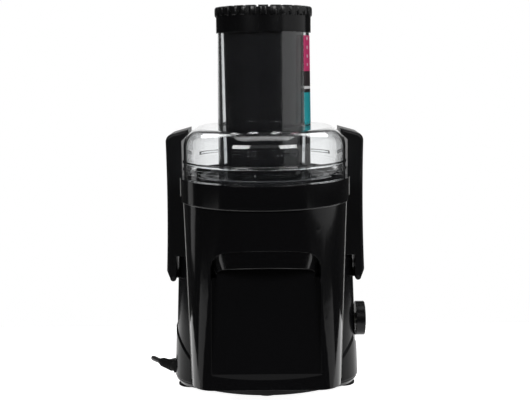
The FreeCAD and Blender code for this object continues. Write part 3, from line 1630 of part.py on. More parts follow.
def make_tie():
    """A flat band round the turns on the coil's +X side."""
    radius = number_of(s.lead_radius)
    gap = s.tie_gap
    inner = s.coil_outer_radius - s.coil_pitch * (COIL_TURNS_PER_LAYER + 0.25)
    low = s.tie_thickness
    high = coil_bottom() + s.coil_layer_rise + radius + gap
    reach = (s.coil_x + inner - radius - gap - s.coil_climb_dip,
             s.coil_x + s.coil_outer_radius + radius + gap)
    across = (s.coil_y - s.tie_width / 2, s.coil_y + s.tie_width / 2)
    skin = s.tie_thickness - s.seat_gap
    band = box("tie_band", (reach[0] - skin, reach[1] + skin), across, (low - skin, high + skin))
    hole = box("tie_hole", reach, (across[0] - PAST, across[1] + PAST), (low, high))
    node(cut("tie", band, hole), "cord_tie")


def make_plug():
    """A flat two-pin plug that lies on the table beside the coil, with its pins towards -X."""
    axis = coil_bottom() + s.coil_layer_rise
    start = s.coil_x - s.coil_tail
    far = s.coil_y + s.coil_outer_radius
    body_start = start - s.plug_sleeve_length
    body_end = body_start - s.plug_length
    half = axis - s.seat_gap
    sleeve = cylinder("plug_sleeve", s.plug_sleeve_radius, s.plug_sleeve_length + PAST * 2, start, far,
                      axis, "-X")
    body = prism("plug_block", plug_outline(body_start, body_end, far), half * 2, s.seat_gap)
    round_edges(body, s.plug_corner_radius / 3, lambda bounds: bounds.ZLength < TOLERANCE)
    pin_spots = [far - s.plug_pin_spacing / 2, far + s.plug_pin_spacing / 2]
    holes = [
        cylinder(f"plug_pin_hole_{index}", s.plug_pin_radius + s.seat_gap, s.plug_pin_length / 2 + PAST,
                 body_end - PAST, y, axis, "+X")
        for index, y in enumerate(pin_spots)
    ]
    node(cut("plug", fuse("plug_solid", sleeve, body), *holes), "plug_body")
    pins = [
        cylinder(f"plug_pin_{index}", s.plug_pin_radius, s.plug_pin_length * 1.5,
                 body_end - s.plug_pin_length, y, axis, "+X")
        for index, y in enumerate(pin_spots)
    ]
    node(group("plug_pin_pair", pins), "plug_pins")


def plug_outline(start, end, middle):
    wide, narrow = s.plug_half_width, s.plug_sleeve_radius * 2
    corner = s.plug_corner_radius
    return [
        (start, middle - narrow),
        (start, middle + narrow),
        (start - s.plug_length / 2, middle + wide),
        (end + corner, middle + wide, corner),
        (end, middle + wide - corner),
        (end, middle - wide + corner, corner),
        (end + corner, middle - wide),
        (start - s.plug_length / 2, middle - wide),
    ]


def check_and_export():
    doc.recompute()
    for item in doc.Objects:
        if "Invalid" in item.State or "Error" in item.State:
            raise RuntimeError(f"{item.Name} failed: {item.State}")
    os.makedirs("parts", exist_ok=True)
    for item in nodes:
        shape = item.Shape
        if shape.isNull() or not shape.isValid() or not shape.Solids:
            raise RuntimeError(f"{item.Label} has no valid solid")
    for item in nodes:
        item.Shape.exportStep(f"parts/{item.Label}.step")


make_base_housing()
make_seal_carrier()
make_bottom_cover()
make_cover_screws()
make_feet()
make_brackets()
make_bearings()
make_stator()
make_motor_fasteners()
make_brushes()
make_shaft_seal()
make_rotor()
make_basket()
make_bowl()
make_spout()
make_lid()
make_pusher()
make_clamps()
make_container()
make_knob()
make_switches()
make_strain_relief()
make_lead_and_coil()
make_tie()
make_plug()
check_and_export()
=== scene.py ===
"""Looks of the centrifugal juicer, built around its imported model, in metres.

The spin axis is the Z axis, the table is at Z = 0 and the pulp container faces -Y, towards the camera.
"""
import json
import math

import bpy
from mathutils import Matrix, Vector
from mathutils.bvhtree import BVHTree


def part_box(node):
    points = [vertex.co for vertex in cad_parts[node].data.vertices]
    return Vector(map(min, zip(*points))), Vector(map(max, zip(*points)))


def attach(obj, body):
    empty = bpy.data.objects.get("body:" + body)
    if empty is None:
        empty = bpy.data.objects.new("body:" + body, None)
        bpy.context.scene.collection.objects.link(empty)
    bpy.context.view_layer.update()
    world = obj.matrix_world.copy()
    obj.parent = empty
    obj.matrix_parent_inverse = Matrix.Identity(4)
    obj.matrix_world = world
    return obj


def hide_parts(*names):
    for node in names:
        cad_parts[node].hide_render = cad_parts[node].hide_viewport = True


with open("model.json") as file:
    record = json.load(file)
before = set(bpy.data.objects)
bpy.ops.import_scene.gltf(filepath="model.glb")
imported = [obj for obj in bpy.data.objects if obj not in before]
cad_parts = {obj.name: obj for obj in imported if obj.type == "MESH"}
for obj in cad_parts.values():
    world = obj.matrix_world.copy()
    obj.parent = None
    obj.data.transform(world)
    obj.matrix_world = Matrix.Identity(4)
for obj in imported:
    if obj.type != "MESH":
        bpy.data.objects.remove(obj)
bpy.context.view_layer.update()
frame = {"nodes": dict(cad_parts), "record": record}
nodes = frame["nodes"]
scene = bpy.context.scene
slot_of = {row["node"]: row["material_slot"] for row in frame["record"]["subparts"]}

ACROSS = Vector((1, 0, 0))
BACKWARDS = Vector((0, 1, 0))
UPWARDS = Vector((0, 0, 1))


def spaced(first, last, count):
    """Evenly spaced numbers from first to last."""
    return [first + (last - first) * index / (count - 1) for index in range(count)]


def ring(count):
    """Evenly spaced angles round a full turn."""
    return [2 * math.pi * index / count for index in range(count)]


def ease(value):
    """A smooth step from 0 to 1."""
    value = max(0.0, min(1.0, value))
    return value * value * (3 - 2 * value)


# Camera

CAMERA_PLACE = (0.0, -0.9, 0.3215)
CAMERA_PITCH = 8.2
CAMERA_ROLL = -0.54
CAMERA_LENS = 61.76
SENSOR_WIDTH = 36.0


def make_camera():
    data = bpy.data.cameras.new("camera")
    data.sensor_width = SENSOR_WIDTH
    data.lens = CAMERA_LENS
    camera = bpy.data.objects.new("camera", data)
    scene.collection.objects.link(camera)
    tilt = Matrix.Rotation(math.radians(90 - CAMERA_PITCH), 4, "X")
    roll = Matrix.Rotation(math.radians(CAMERA_ROLL), 4, "Z")
    camera.matrix_world = Matrix.Translation(CAMERA_PLACE) @ tilt @ roll
    scene.camera = camera


# Cord

LEAD_RADIUS = 0.0026
LEAD_START = (-0.10925, 0.01213, 0.0216)
LEAD_BENDS = ((-0.0054, 0.0059, 0.0), (-0.0110, 0.0165, -0.0015), (-0.0112, 0.0320, -0.0070))
LEAD_LOW = 0.00355
LEAD_ON_TABLE = ((-0.0025, 0.0490), (0.0180, 0.0675))
RUN_INTO_COIL = (0.0352, 0.0052)
COIL_CENTRE = (-0.012, 0.141)
COIL_RADIUS = 0.036
COIL_PITCH = 0.0058
COIL_RISE = 0.0058
COIL_DIP = 0.002
COIL_TAIL = (0.009, 0.022)
TURNS_IN_LAYER = 2.5
CLIMB_TURNS = 0.5
POINTS_PER_TURN = 20
CORD_SMOOTHNESS = 6


def coil_point(turns):
    """A point of the coil: spiral in, climb one layer in half a turn, spiral out again."""
    radius = COIL_RADIUS - COIL_PITCH * min(turns, TURNS_IN_LAYER)
    rise = 0.0
    if turns > TURNS_IN_LAYER:
        share = min((turns - TURNS_IN_LAYER) / CLIMB_TURNS, 1)
        rise = COIL_RISE * (share - math.sin(2 * math.pi * share) / (2 * math.pi))
        radius -= COIL_DIP * math.sin(math.pi * share) ** 2
    if turns > TURNS_IN_LAYER + CLIMB_TURNS:
        radius += COIL_PITCH * (turns - TURNS_IN_LAYER - CLIMB_TURNS)
    angle = 2 * math.pi * turns - math.pi / 2
    x = COIL_CENTRE[0] + math.cos(angle) * radius
    y = COIL_CENTRE[1] + math.sin(angle) * radius
    return (x, y, LEAD_LOW + rise)


def cord_points():
    """The route out of the boot, round the base and down to the table, then the coil and the plug."""
    x, y, z = LEAD_START
    entry = coil_point(0)
    route = [LEAD_START]
    route += [(x + right, y + back, z + up) for right, back, up in LEAD_BENDS]
    route += [(x + right, y + back, LEAD_LOW) for right, back in LEAD_ON_TABLE]
    route += [(entry[0] - run, entry[1], LEAD_LOW) for run in RUN_INTO_COIL]
    turns = 2 * TURNS_IN_LAYER + CLIMB_TURNS
    route += [coil_point(turn) for turn in spaced(0, turns, round(turns * POINTS_PER_TURN) + 1)]
    last = route[-1]
    route += [(last[0] - run, last[1], last[2]) for run in COIL_TAIL]
    return route


def make_cord():
    data = bpy.data.curves.new("mains_cord", "CURVE")
    data.dimensions = "3D"
    data.bevel_depth = LEAD_RADIUS
    data.bevel_resolution = CORD_SMOOTHNESS
    data.resolution_u = CORD_SMOOTHNESS
    data.use_fill_caps = True
    spline = data.splines.new("NURBS")
    points = cord_points()
    spline.points.add(len(points) - 1)
    for place, point in zip(points, spline.points):
        point.co = (*place, 1.0)
    spline.order_u = 3
    spline.use_endpoint_u = True
    cord = bpy.data.objects.new("mains_cord", data)
    scene.collection.objects.link(cord)
    cord.data.materials.append(material("cord_jacket"))
    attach(cord, "base")
    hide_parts("mains_lead", "cord_coil")


# Shader nodes

def new_material(name):
    made = bpy.data.materials.new(name)
    made.use_nodes = True
    return made


def feed(tree, socket, value):
    """Links a socket to another one, or sets it to a plain value."""
    if isinstance(value, bpy.types.NodeSocket):
        tree.links.new(value, socket)
    else:
        socket.default_value = value


def add_node(tree, kind, inputs, **settings):
    """Adds a shader node, sets its properties and feeds its inputs, and returns its outputs."""
    node = tree.nodes.new("ShaderNode" + kind)
    for name, value in settings.items():
        setattr(node, name, value)
    for key, value in inputs.items():
        feed(tree, node.inputs[key], value)
    return node.outputs


def calculate(tree, operation, first, second):
    return add_node(tree, "Math", {0: first, 1: second}, operation=operation)["Value"]


def mix_colours(tree, share, first, second):
    return add_node(tree, "Mix", {"Factor": share, "A": first, "B": second}, data_type="RGBA")["Result"]


def opaque(colour):
    return (*colour, 1)


def feed_shader(tree, inputs):
    """Feeds the main shader of a material."""
    shader = tree.nodes["Principled BSDF"]
    for key, value in inputs.items():
        feed(tree, shader.inputs[key], value)


# Materials

EDGE_ROUNDING = 0.0006
BROAD_SCALE = 18.0
BROAD_DETAIL = 3.0
TONE_SWING = 0.12
LEAST_ROUGHNESS = 0.02
GRAIN_SIZE = 0.0004
GRAIN_DETAIL = 2.0
GRAIN_HEIGHT = 0.0001


def moulded(name, colour, roughness, depth=0.15, uneven=0.05, metallic=0.0, specular=0.5):
    """A moulded or turned surface: fine grain, softened edges, and slightly uneven roughness and colour."""
    made = new_material(name)
    tree = made.node_tree
    place = add_node(tree, "TexCoord", {})["Object"]
    patches = {"Vector": place, "Scale": BROAD_SCALE, "Detail": BROAD_DETAIL}
    broad = add_node(tree, "TexNoise", patches)["Fac"]
    smoothest = max(LEAST_ROUGHNESS, roughness - uneven)
    span = {"Value": broad, "To Min": smoothest, "To Max": roughness + uneven}
    darker = opaque([value * (1 - TONE_SWING) for value in colour])
    lighter = opaque([min(1, value * (1 + TONE_SWING)) for value in colour])
    grain = {"Vector": place, "Scale": 1 / GRAIN_SIZE, "Detail": GRAIN_DETAIL}
    fine = add_node(tree, "TexNoise", grain)["Fac"]
    edge = add_node(tree, "Bevel", {"Radius": EDGE_ROUNDING})["Normal"]
    bump = {"Strength": depth, "Distance": GRAIN_HEIGHT, "Height": fine, "Normal": edge}
    feed_shader(tree, {
        "Metallic": metallic,
        "Specular IOR Level": specular,
        "Roughness": add_node(tree, "MapRange", span)["Result"],
        "Base Color": mix_colours(tree, broad, darker, lighter),
        "Normal": add_node(tree, "Bump", bump)["Normal"],
    })
    return made


CLEAR_TONE = (0.97, 0.98, 0.985)
CLEAR_SHADOW = (0.93, 0.95, 0.96)
CLEAR_IOR = 1.5
CLEAR_ROUGHNESS = 0.01


def clear_plastic(name):
    """Clear plastic that lets the lamps through, so that its shadow is pale."""
    made = new_material(name)
    tree = made.node_tree
    feed_shader(tree, {
        "Base Color": opaque(CLEAR_TONE),
        "Transmission Weight": 1.0,
        "IOR": CLEAR_IOR,
        "Roughness": CLEAR_ROUGHNESS,
    })
    plastic = tree.nodes["Principled BSDF"].outputs["BSDF"]
    passing = add_node(tree, "BsdfTransparent", {"Color": opaque(CLEAR_SHADOW)})["BSDF"]
    shadow = add_node(tree, "LightPath", {})["Is Shadow Ray"]
    mixed = add_node(tree, "MixShader", {"Fac": shadow, 1: plastic, 2: passing})["Shader"]
    feed(tree, tree.nodes["Material Output"].inputs["Surface"], mixed)
    return made


STEEL = (0.62, 0.62, 0.62)
SHEET_ROUGHNESS = 0.28
HOLES_PER_RADIAN = 46.0
HOLE_PITCH = 0.0012
HOLE_SHARE = 0.32
HOLE_TONE = (0.01, 0.01, 0.01)


def perforated_steel(name):
    """Steel sheet rolled round the spin axis, with rows of fine dark holes."""
    made = moulded(name, STEEL, SHEET_ROUGHNESS)
    tree = made.node_tree
    place = add_node(tree, "TexCoord", {})["Object"]
    split = add_node(tree, "SeparateXYZ", {"Vector": place})
    angle = calculate(tree, "ARCTAN2", split["Y"], split["X"])
    around = calculate(tree, "MULTIPLY", angle, HOLES_PER_RADIAN)
    rows = calculate(tree, "DIVIDE", split["Z"], HOLE_PITCH)
    grid = add_node(tree, "CombineXYZ", {"X": around, "Y": rows})["Vector"]
    even = {"Vector": grid, "Scale": 1.0, "Randomness": 0.0}
    cells = add_node(tree, "TexVoronoi", even, voronoi_dimensions="2D")["Distance"]
    solid = calculate(tree, "GREATER_THAN", cells, HOLE_SHARE)
    colour = mix_colours(tree, solid, opaque(HOLE_TONE), opaque(STEEL))
    feed_shader(tree, {"Metallic": solid, "Base Color": colour})
    return made


BLACK = (0.004, 0.004, 0.0045)
SATIN_BLACK = (0.005, 0.005, 0.0055)
RUBBER_BLACK = (0.010, 0.010, 0.010)
FINISHES = {
    "base_shell": {"colour": BLACK, "roughness": 0.22, "depth": 0.05, "specular": 0.14},
    "container_plastic": {
        "colour": BLACK, "roughness": 0.10, "depth": 0.02, "uneven": 0.02, "specular": 0.4,
    },
    "pusher_plastic": {"colour": BLACK, "roughness": 0.18, "depth": 0.05, "specular": 0.3},
    "grip_plastic": {"colour": SATIN_BLACK, "roughness": 0.24, "specular": 0.4},
    "clamp_plastic": {"colour": SATIN_BLACK, "roughness": 0.34, "specular": 0.2},
    "knob_plastic": {"colour": SATIN_BLACK, "roughness": 0.28, "specular": 0.2},
    "bowl_plastic": {"colour": (0.010, 0.010, 0.011), "roughness": 0.2, "depth": 0.05},
    "coupling_plastic": {"colour": (0.03, 0.03, 0.032), "roughness": 0.4},
    "sieve_steel": {"colour": STEEL, "roughness": SHEET_ROUGHNESS, "metallic": 1.0},
    "steel": {"colour": (0.58, 0.58, 0.59), "roughness": 0.25, "metallic": 1.0},
    "lamination": {"colour": (0.30, 0.30, 0.32), "roughness": 0.45, "metallic": 1.0},
    "copper": {"colour": (0.72, 0.33, 0.16), "roughness": 0.3, "metallic": 1.0},
    "cast_bracket": {"colour": (0.62, 0.62, 0.64), "roughness": 0.45, "metallic": 1.0},
    "carbon": {"colour": (0.03, 0.03, 0.03), "roughness": 0.6},
    "pin_metal": {"colour": (0.70, 0.66, 0.55), "roughness": 0.22, "metallic": 1.0},
    "switch_plastic": {"colour": (0.5, 0.48, 0.42), "roughness": 0.5},
    "foot_rubber": {"colour": RUBBER_BLACK, "roughness": 0.6, "depth": 0.3, "specular": 0.1},
    "cord_jacket": {"colour": RUBBER_BLACK, "roughness": 0.45, "depth": 0.2, "specular": 0.4},
    "tie_plastic": {"colour": (0.02, 0.02, 0.02), "roughness": 0.4},
    "plug_plastic": {"colour": (0.012, 0.012, 0.012), "roughness": 0.4},
    "clamp_pins": {"colour": (0.03, 0.03, 0.032), "roughness": 0.35, "metallic": 0.6},
    # Pale grey of the parting beads: a painted highlight along the container's edges, not the plastic's own
    # colour
    "painted_rim_highlight": {"colour": (0.42, 0.42, 0.41), "roughness": 0.3, "depth": 0.02},
    # Lighter grey of the collar and arch lines: a painted highlight along those edges
    "edge_highlight_paint": {"colour": (0.022, 0.022, 0.022), "roughness": 0.3, "depth": 0.02},
    "pointer_paint": {"colour": (0.55, 0.55, 0.54), "roughness": 0.4, "depth": 0.02},
}
SPECIAL_FINISHES = {"clear_plastic": clear_plastic, "sieve_basket": perforated_steel}
OWN_FINISH_NODES = ("sieve_basket", "clamp_pins")
made_materials = {}


def material(name):
    """A finish by its name, made once."""
    if name not in made_materials:
        special = SPECIAL_FINISHES.get(name)
        made_materials[name] = special(name) if special else moulded(name, **FINISHES[name])
    return made_materials[name]


def dress_nodes():
    """Every CAD node takes the finish of its slot, or one of its own."""
    for node, slot in slot_of.items():
        item = nodes[node]
        item.data.materials.clear()
        item.data.materials.append(material(node if node in OWN_FINISH_NODES else slot))


# Pieces built as meshes

RAY_REACH = 0.4


def add_piece(name, vertices, faces, finish, body, smooth=True):
    """A mesh piece with one material that moves with a body."""
    mesh = bpy.data.meshes.new(name)
    mesh.from_pydata(vertices, [], faces)
    mesh.update()
    for face in mesh.polygons:
        face.use_smooth = smooth
    mesh.materials.append(finish)
    item = bpy.data.objects.new(name, mesh)
    scene.collection.objects.link(item)
    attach(item, body)
    return item


def thicken(item, thickness):
    """Makes a sheet a closed shell that reaches inwards from its face."""
    solid = item.modifiers.new("thickness", "SOLIDIFY")
    solid.thickness = thickness
    solid.offset = -1.0


def band_faces(start, following, rows, closed):
    """Faces between two neighbouring columns of points."""
    pairs = [(row, (row + 1) % rows) for row in range(rows if closed else rows - 1)]
    return [(start + row, following + row, following + after, start + after) for row, after in pairs]


def grid_faces(columns, rows):
    """Faces of an open sheet whose points are listed column by column."""
    faces = []
    for column in range(columns - 1):
        faces += band_faces(column * rows, (column + 1) * rows, rows, closed=False)
    return faces


def tube_faces(columns, rows):
    """Faces of a tube whose rings are listed one after another, with both ends closed."""
    faces = []
    for column in range(columns - 1):
        faces += band_faces(column * rows, (column + 1) * rows, rows, closed=True)
    faces.append(tuple(range(rows)))
    faces.append(tuple(reversed(range((columns - 1) * rows, columns * rows))))
    return faces


def hoop_faces(columns, rows):
    """Faces of a tube that runs back into itself."""
    faces = []
    for column in range(columns):
        faces += band_faces(column * rows, (column + 1) % columns * rows, rows, closed=True)
    return faces


def shifted(faces, start):
    """The same faces for points that are listed later."""
    return [tuple(start + corner for corner in face) for face in faces]


def half_round(turn, proud, sunk):
    """How far a point of a flattened ring stands out of the surface, or reaches into it."""
    across = math.cos(turn)
    return across * (proud if across > 0 else sunk)


def corners_of(node):
    return [Vector(corner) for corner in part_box(node)]


def surface_of(node):
    """A node's surface, for casting rays at it."""
    mesh = nodes[node].data
    corners = [vertex.co.copy() for vertex in mesh.vertices]
    return BVHTree.FromPolygons(corners, [face.vertices[:] for face in mesh.polygons])


class DraftedWall:
    """The outside of a node that tapers evenly between two heights, found by rays towards the axis."""

    def __init__(self, node, low, high):
        self.surface = surface_of(node)
        self.low = low
        self.high = high

    def way(self, angle):
        """The level direction at an angle from the front, positive towards +X."""
        return Vector((math.sin(angle), -math.cos(angle), 0))

    def reach_at(self, angle, height):
        outwards = self.way(angle)
        hit = self.surface.ray_cast(outwards * RAY_REACH + UPWARDS * height, -outwards)[0]
        return hit.xy.length

    def point(self, angle, height, proud):
        share = (height - self.low) / (self.high - self.low)
        reach = self.reach_at(angle, self.low) * (1 - share) + self.reach_at(angle, self.high) * share
        return self.way(angle) * (reach + proud) + UPWARDS * height


# Raised skirt round the base, whose upper edge sweeps down towards the front

SKIRT_WALL = (0.032, 0.050)
SKIRT_FRONT = math.radians(63)
SKIRT_SIDE = math.radians(90)
SKIRT_BOTTOM = 0.0135
SKIRT_TOP = 0.070
SKIRT_SWEEP = 0.032
SKIRT_CURVE = 1.4
SKIRT_PROUD = 0.0012
SKIRT_SUNK = 0.0004
SKIRT_THICK = 0.0008
SKIRT_LIP = 0.001
SKIRT_FADE_TOP = 0.006
SKIRT_FADE_BOTTOM = 0.0015
SKIRT_FADE_FRONT = math.radians(3)
SKIRT_COLUMNS = 300
SKIRT_ROWS = 60
KNOB_CLEAR = (0.0185, 0.026)
FAR_AWAY = 1.0


def skirt_top(angle):
    """Height of the skirt's upper edge at an angle from the front."""
    before = max(0.0, (SKIRT_SIDE - abs(angle)) / (SKIRT_SIDE - SKIRT_FRONT))
    return SKIRT_TOP - SKIRT_SWEEP * before ** SKIRT_CURVE


def skirt_proud(angle, height, knob_distance):
    """How far the skirt stands out, which fades to nothing at its edges and round the knob."""
    top = ease((skirt_top(angle) - height) / SKIRT_FADE_TOP)
    bottom = ease((height - SKIRT_BOTTOM) / SKIRT_FADE_BOTTOM)
    front = ease((abs(angle) - SKIRT_FRONT) / SKIRT_FADE_FRONT)
    knob = ease((knob_distance - KNOB_CLEAR[0]) / (KNOB_CLEAR[1] - KNOB_CLEAR[0]))
    return (SKIRT_PROUD + SKIRT_SUNK) * min(top, bottom, front, knob) - SKIRT_SUNK


def distance_to_knob(point, knob):
    """How far a point is from the knob's axis, on the knob's side of the base."""
    return math.hypot(point.y - knob.y, point.z - knob.z) if point.x > 0 else FAR_AWAY


def make_skirt():
    wall = DraftedWall("base_housing", *SKIRT_WALL)
    low, high = corners_of("speed_knob")
    knob = (low + high) / 2
    points = []
    for angle in spaced(SKIRT_FRONT, 2 * math.pi - SKIRT_FRONT, SKIRT_COLUMNS):
        signed = angle if angle <= math.pi else angle - 2 * math.pi
        for height in spaced(SKIRT_BOTTOM, skirt_top(signed) + SKIRT_LIP, SKIRT_ROWS):
            distance = distance_to_knob(wall.point(signed, height, 0), knob)
            points.append(wall.point(signed, height, skirt_proud(signed, height, distance)))
    faces = grid_faces(SKIRT_COLUMNS, SKIRT_ROWS)
    skirt = add_piece("base_skirt", points, faces, material("base_shell"), "base")
    thicken(skirt, SKIRT_THICK)


# Printed sticker on the right of the feed tube: plain bands and rows of dots

STICKER_WALL = (0.280, 0.340)
STICKER_LOW = 0.268
STICKER_HIGH = 0.353
STICKER_START = math.radians(58)
STICKER_END = math.radians(112)
STICKER_PROUD = 0.00015
STICKER_THICK = 0.0001
STICKER_COLUMNS = 36
STICKER_ROWS = 24
STICKER_ROUGHNESS = 0.35
STICKER_PINK = (0.62, 0.03, 0.16)
STICKER_TEAL = (0.01, 0.34, 0.38)
STICKER_DARK = (0.02, 0.012, 0.014)
STICKER_PALE = (0.8, 0.8, 0.8)
STICKER_BANDS = ((0.36, STICKER_DARK), (0.40, STICKER_PALE), (0.43, STICKER_DARK), (0.60, STICKER_PINK))
DOT_TONE = (0.8, 0.55, 0.6)
DOTS_PER_METRE = 120.0
DOT_SIZE = 0.22
DOTS_FROM = 0.66


def sticker_bands(tree, share):
    """Teal at the foot, then a dark band with a pale line, then pink."""
    node = tree.nodes.new("ShaderNodeValToRGB")
    ramp = node.color_ramp
    ramp.interpolation = "CONSTANT"
    ramp.elements.remove(ramp.elements[1])
    ramp.elements[0].color = opaque(STICKER_TEAL)
    for position, colour in STICKER_BANDS:
        ramp.elements.new(position).color = opaque(colour)
    feed(tree, node.inputs["Fac"], share)
    return node.outputs["Color"]


def sticker_print():
    """Plain bands, with evenly spaced pale dots on the pink one."""
    made = new_material("sticker_print")
    tree = made.node_tree
    place = add_node(tree, "TexCoord", {})["Object"]
    height = add_node(tree, "SeparateXYZ", {"Vector": place})["Z"]
    span = {"Value": height, "From Min": STICKER_LOW, "From Max": STICKER_HIGH}
    share = add_node(tree, "MapRange", span)["Result"]
    even = {"Vector": place, "Scale": DOTS_PER_METRE, "Randomness": 0.0}
    distance = add_node(tree, "TexVoronoi", even)["Distance"]
    inside = calculate(tree, "LESS_THAN", distance, DOT_SIZE)
    upper = calculate(tree, "GREATER_THAN", share, DOTS_FROM)
    dots = calculate(tree, "MULTIPLY", inside, upper)
    colour = mix_colours(tree, dots, sticker_bands(tree, share), opaque(DOT_TONE))
    feed_shader(tree, {"Roughness": STICKER_ROUGHNESS, "Base Color": colour})
    return made


def make_sticker():
    wall = DraftedWall("lid", *STICKER_WALL)
    points = []
    for angle in spaced(STICKER_START, STICKER_END, STICKER_COLUMNS):
        for height in spaced(STICKER_LOW, STICKER_HIGH, STICKER_ROWS):
            points.append(wall.point(angle, height, STICKER_PROUD))
    faces = grid_faces(STICKER_COLUMNS, STICKER_ROWS)
    sticker = add_piece("tube_sticker", points, faces, sticker_print(), "lid")
    thicken(sticker, STICKER_THICK)


# Rounded bead round the lid above its flange, left out beside the clamps

BEAD_WALL = (0.234, 0.245)
BEAD_HEIGHT = 0.2367
BEAD_HALF = 0.0016
BEAD_PROUD = 0.001
BEAD_SUNK = 0.0003
BEAD_ARCS = {"lid_bead_front": (-68, 68), "lid_bead_back": (112, 248)}
BEAD_FADE = math.radians(3)
BEAD_COLUMNS = 120
BEAD_ROWS = 16


def make_bead(name, first, last):
    wall = DraftedWall("lid", *BEAD_WALL)
    points = []
    for angle in spaced(first, last, BEAD_COLUMNS):
        proud = BEAD_PROUD * ease(min(angle - first, last - angle) / BEAD_FADE)
        for turn in ring(BEAD_ROWS):
            height = BEAD_HEIGHT + math.sin(turn) * BEAD_HALF
            points.append(wall.point(angle, height, half_round(turn, proud, BEAD_SUNK)))
    faces = tube_faces(BEAD_COLUMNS, BEAD_ROWS)
    bead = add_piece(name, points, faces, material("clear_plastic"), "lid")


def make_beads():
    for name, (first, last) in BEAD_ARCS.items():
        make_bead(name, math.radians(first), math.radians(last))


# Parting beads down both edges of the pulp container, coloured pale grey as a painted highlight: the thin
# bright line along each edge

PARTING_RADIUS = 0.0005
PARTING_RUNS = {"wall": (0.044, 0.2005), "collar": (0.2045, 0.2215)}
PARTING_SIDES = {"right": 1, "left": -1}
PARTING_COLUMNS = 40
PARTING_ROWS = 10
SIDE_RAYS = 90
SIDE_RAY_PITCH = 0.001
SIDE_RAY_FRONT = -0.1289


def container_edge(surface, side, height):
    """The point of the container at a height that is widest when seen from the front."""
    best = None
    widest = 0.0
    for step in range(SIDE_RAYS):
        start = Vector((side * RAY_REACH, SIDE_RAY_FRONT + SIDE_RAY_PITCH * step, height))
        hit = surface.ray_cast(start, ACROSS * -side)[0]
        if hit is None:
            continue
        width = abs(hit.x) / (hit.y - CAMERA_PLACE[1])
        if width > widest:
            best = hit
            widest = width
    return best


def tube_points(path, radius, rows, first, second):
    """Rings of points round a path, each ring laid out along two directions."""
    points = []
    for place in path:
        for turn in ring(rows):
            points.append(place + (first * math.cos(turn) + second * math.sin(turn)) * radius)
    return points


def add_container_line(name, points, rows, finish):
    faces = tube_faces(len(points) // rows, rows)
    line = add_piece(name, points, faces, material(finish), "pulp_container")


def make_highlight_painted_parting_beads():
    surface = surface_of("pulp_container")
    for label, side in PARTING_SIDES.items():
        for part, (low, high) in PARTING_RUNS.items():
            first = container_edge(surface, side, low)
            last = container_edge(surface, side, high)
            path = [first.lerp(last, share) for share in spaced(0, 1, PARTING_COLUMNS)]
            points = tube_points(path, PARTING_RADIUS, PARTING_ROWS, ACROSS, BACKWARDS)
            name = "parting_bead_" + part + "_" + label
            # The beads' pale finish is a painted highlight
            add_container_line(name, points, PARTING_ROWS, "painted_rim_highlight")


# Fine raised lines along the collar's lower edge and the arch of the hand hold, coloured a lighter grey
# than the container as a painted highlight along these edges

LINE_COLUMNS = 90
LINE_ROWS = 8
EDGE_STEP = 0.0002
EDGE_JUMP = 0.001
COLLAR_WALL = (0.206, 0.216)
COLLAR_LINE_RADIUS = 0.0006
COLLAR_SEARCH = 0.208
COLLAR_REACH = math.radians(58)
ARCH_LINE_RADIUS = 0.00035
ARCH_HALF = 0.0445
ARCH_TOP = 0.153
ARCH_LOWEST = 0.13


def collar_edge(wall):
    """The height of the collar's lower edge at the front, where the wall steps in."""
    height = COLLAR_SEARCH
    while wall.reach_at(0, height) > wall.reach_at(0, COLLAR_SEARCH) - EDGE_JUMP:
        height -= EDGE_STEP
    return height


def make_collar_line():
    wall = DraftedWall("pulp_container", *COLLAR_WALL)
    height = collar_edge(wall)
    angles = spaced(-COLLAR_REACH, COLLAR_REACH, LINE_COLUMNS)
    path = [wall.point(angle, height, -COLLAR_LINE_RADIUS) for angle in angles]
    points = tube_points(path, COLLAR_LINE_RADIUS, LINE_ROWS, BACKWARDS, UPWARDS)
    # The lighter grey here is a painted highlight on the collar's edge
    add_container_line("collar_line", points, LINE_ROWS, "edge_highlight_paint")


def front_point(surface, x, height):
    return surface.ray_cast(Vector((x, -RAY_REACH, height)), BACKWARDS)[0]


def arch_point(surface, x):
    """The lower edge of the hand hold's bevel, where a level ray first falls into the recess."""
    height = ARCH_TOP
    last = front_point(surface, x, height)
    while height > ARCH_LOWEST:
        height -= EDGE_STEP
        hit = front_point(surface, x, height)
        if hit.y - last.y > EDGE_JUMP:
            break
        last = hit
    return last


def make_arch_line():
    surface = surface_of("pulp_container")
    path = [arch_point(surface, x) for x in spaced(-ARCH_HALF, ARCH_HALF, LINE_COLUMNS)]
    points = tube_points(path, ARCH_LINE_RADIUS, LINE_ROWS, BACKWARDS, UPWARDS)
    # The lighter grey here is a painted highlight on the arch's edge
    add_container_line("arch_line", points, LINE_ROWS, "edge_highlight_paint")


# Grip lobes round the rim of the pusher

LOBE_COUNT = 30
LOBE_HALF_ANGLE = math.radians(4.3)
LOBE_HEIGHT = 0.0085
LOBE_DROP = 0.0004
LOBE_PROUD = 0.0009
LOBE_SUNK = 0.0008
LOBE_FULLNESS = 4
LOBE_SQUARENESS = 0.5
LOBE_COLUMNS = 7
LOBE_ROWS = 12


def lobe_points(centre, outer, middle):
    """A lobe about an angle of the rim, on a radius and a middle height."""
    points = []
    for across in spaced(-1, 1, LOBE_COLUMNS):
        angle = centre + across * LOBE_HALF_ANGLE
        out = Vector((math.cos(angle), math.sin(angle), 0))
        proud = LOBE_PROUD * math.sqrt(max(0.0, 1 - across ** LOBE_FULLNESS))
        for turn in ring(LOBE_ROWS):
            rise = math.copysign(abs(math.sin(turn)) ** LOBE_SQUARENESS, math.sin(turn))
            reach = outer + half_round(turn, proud, LOBE_SUNK)
            points.append(out * reach + UPWARDS * (middle + rise * LOBE_HEIGHT / 2))
    return points


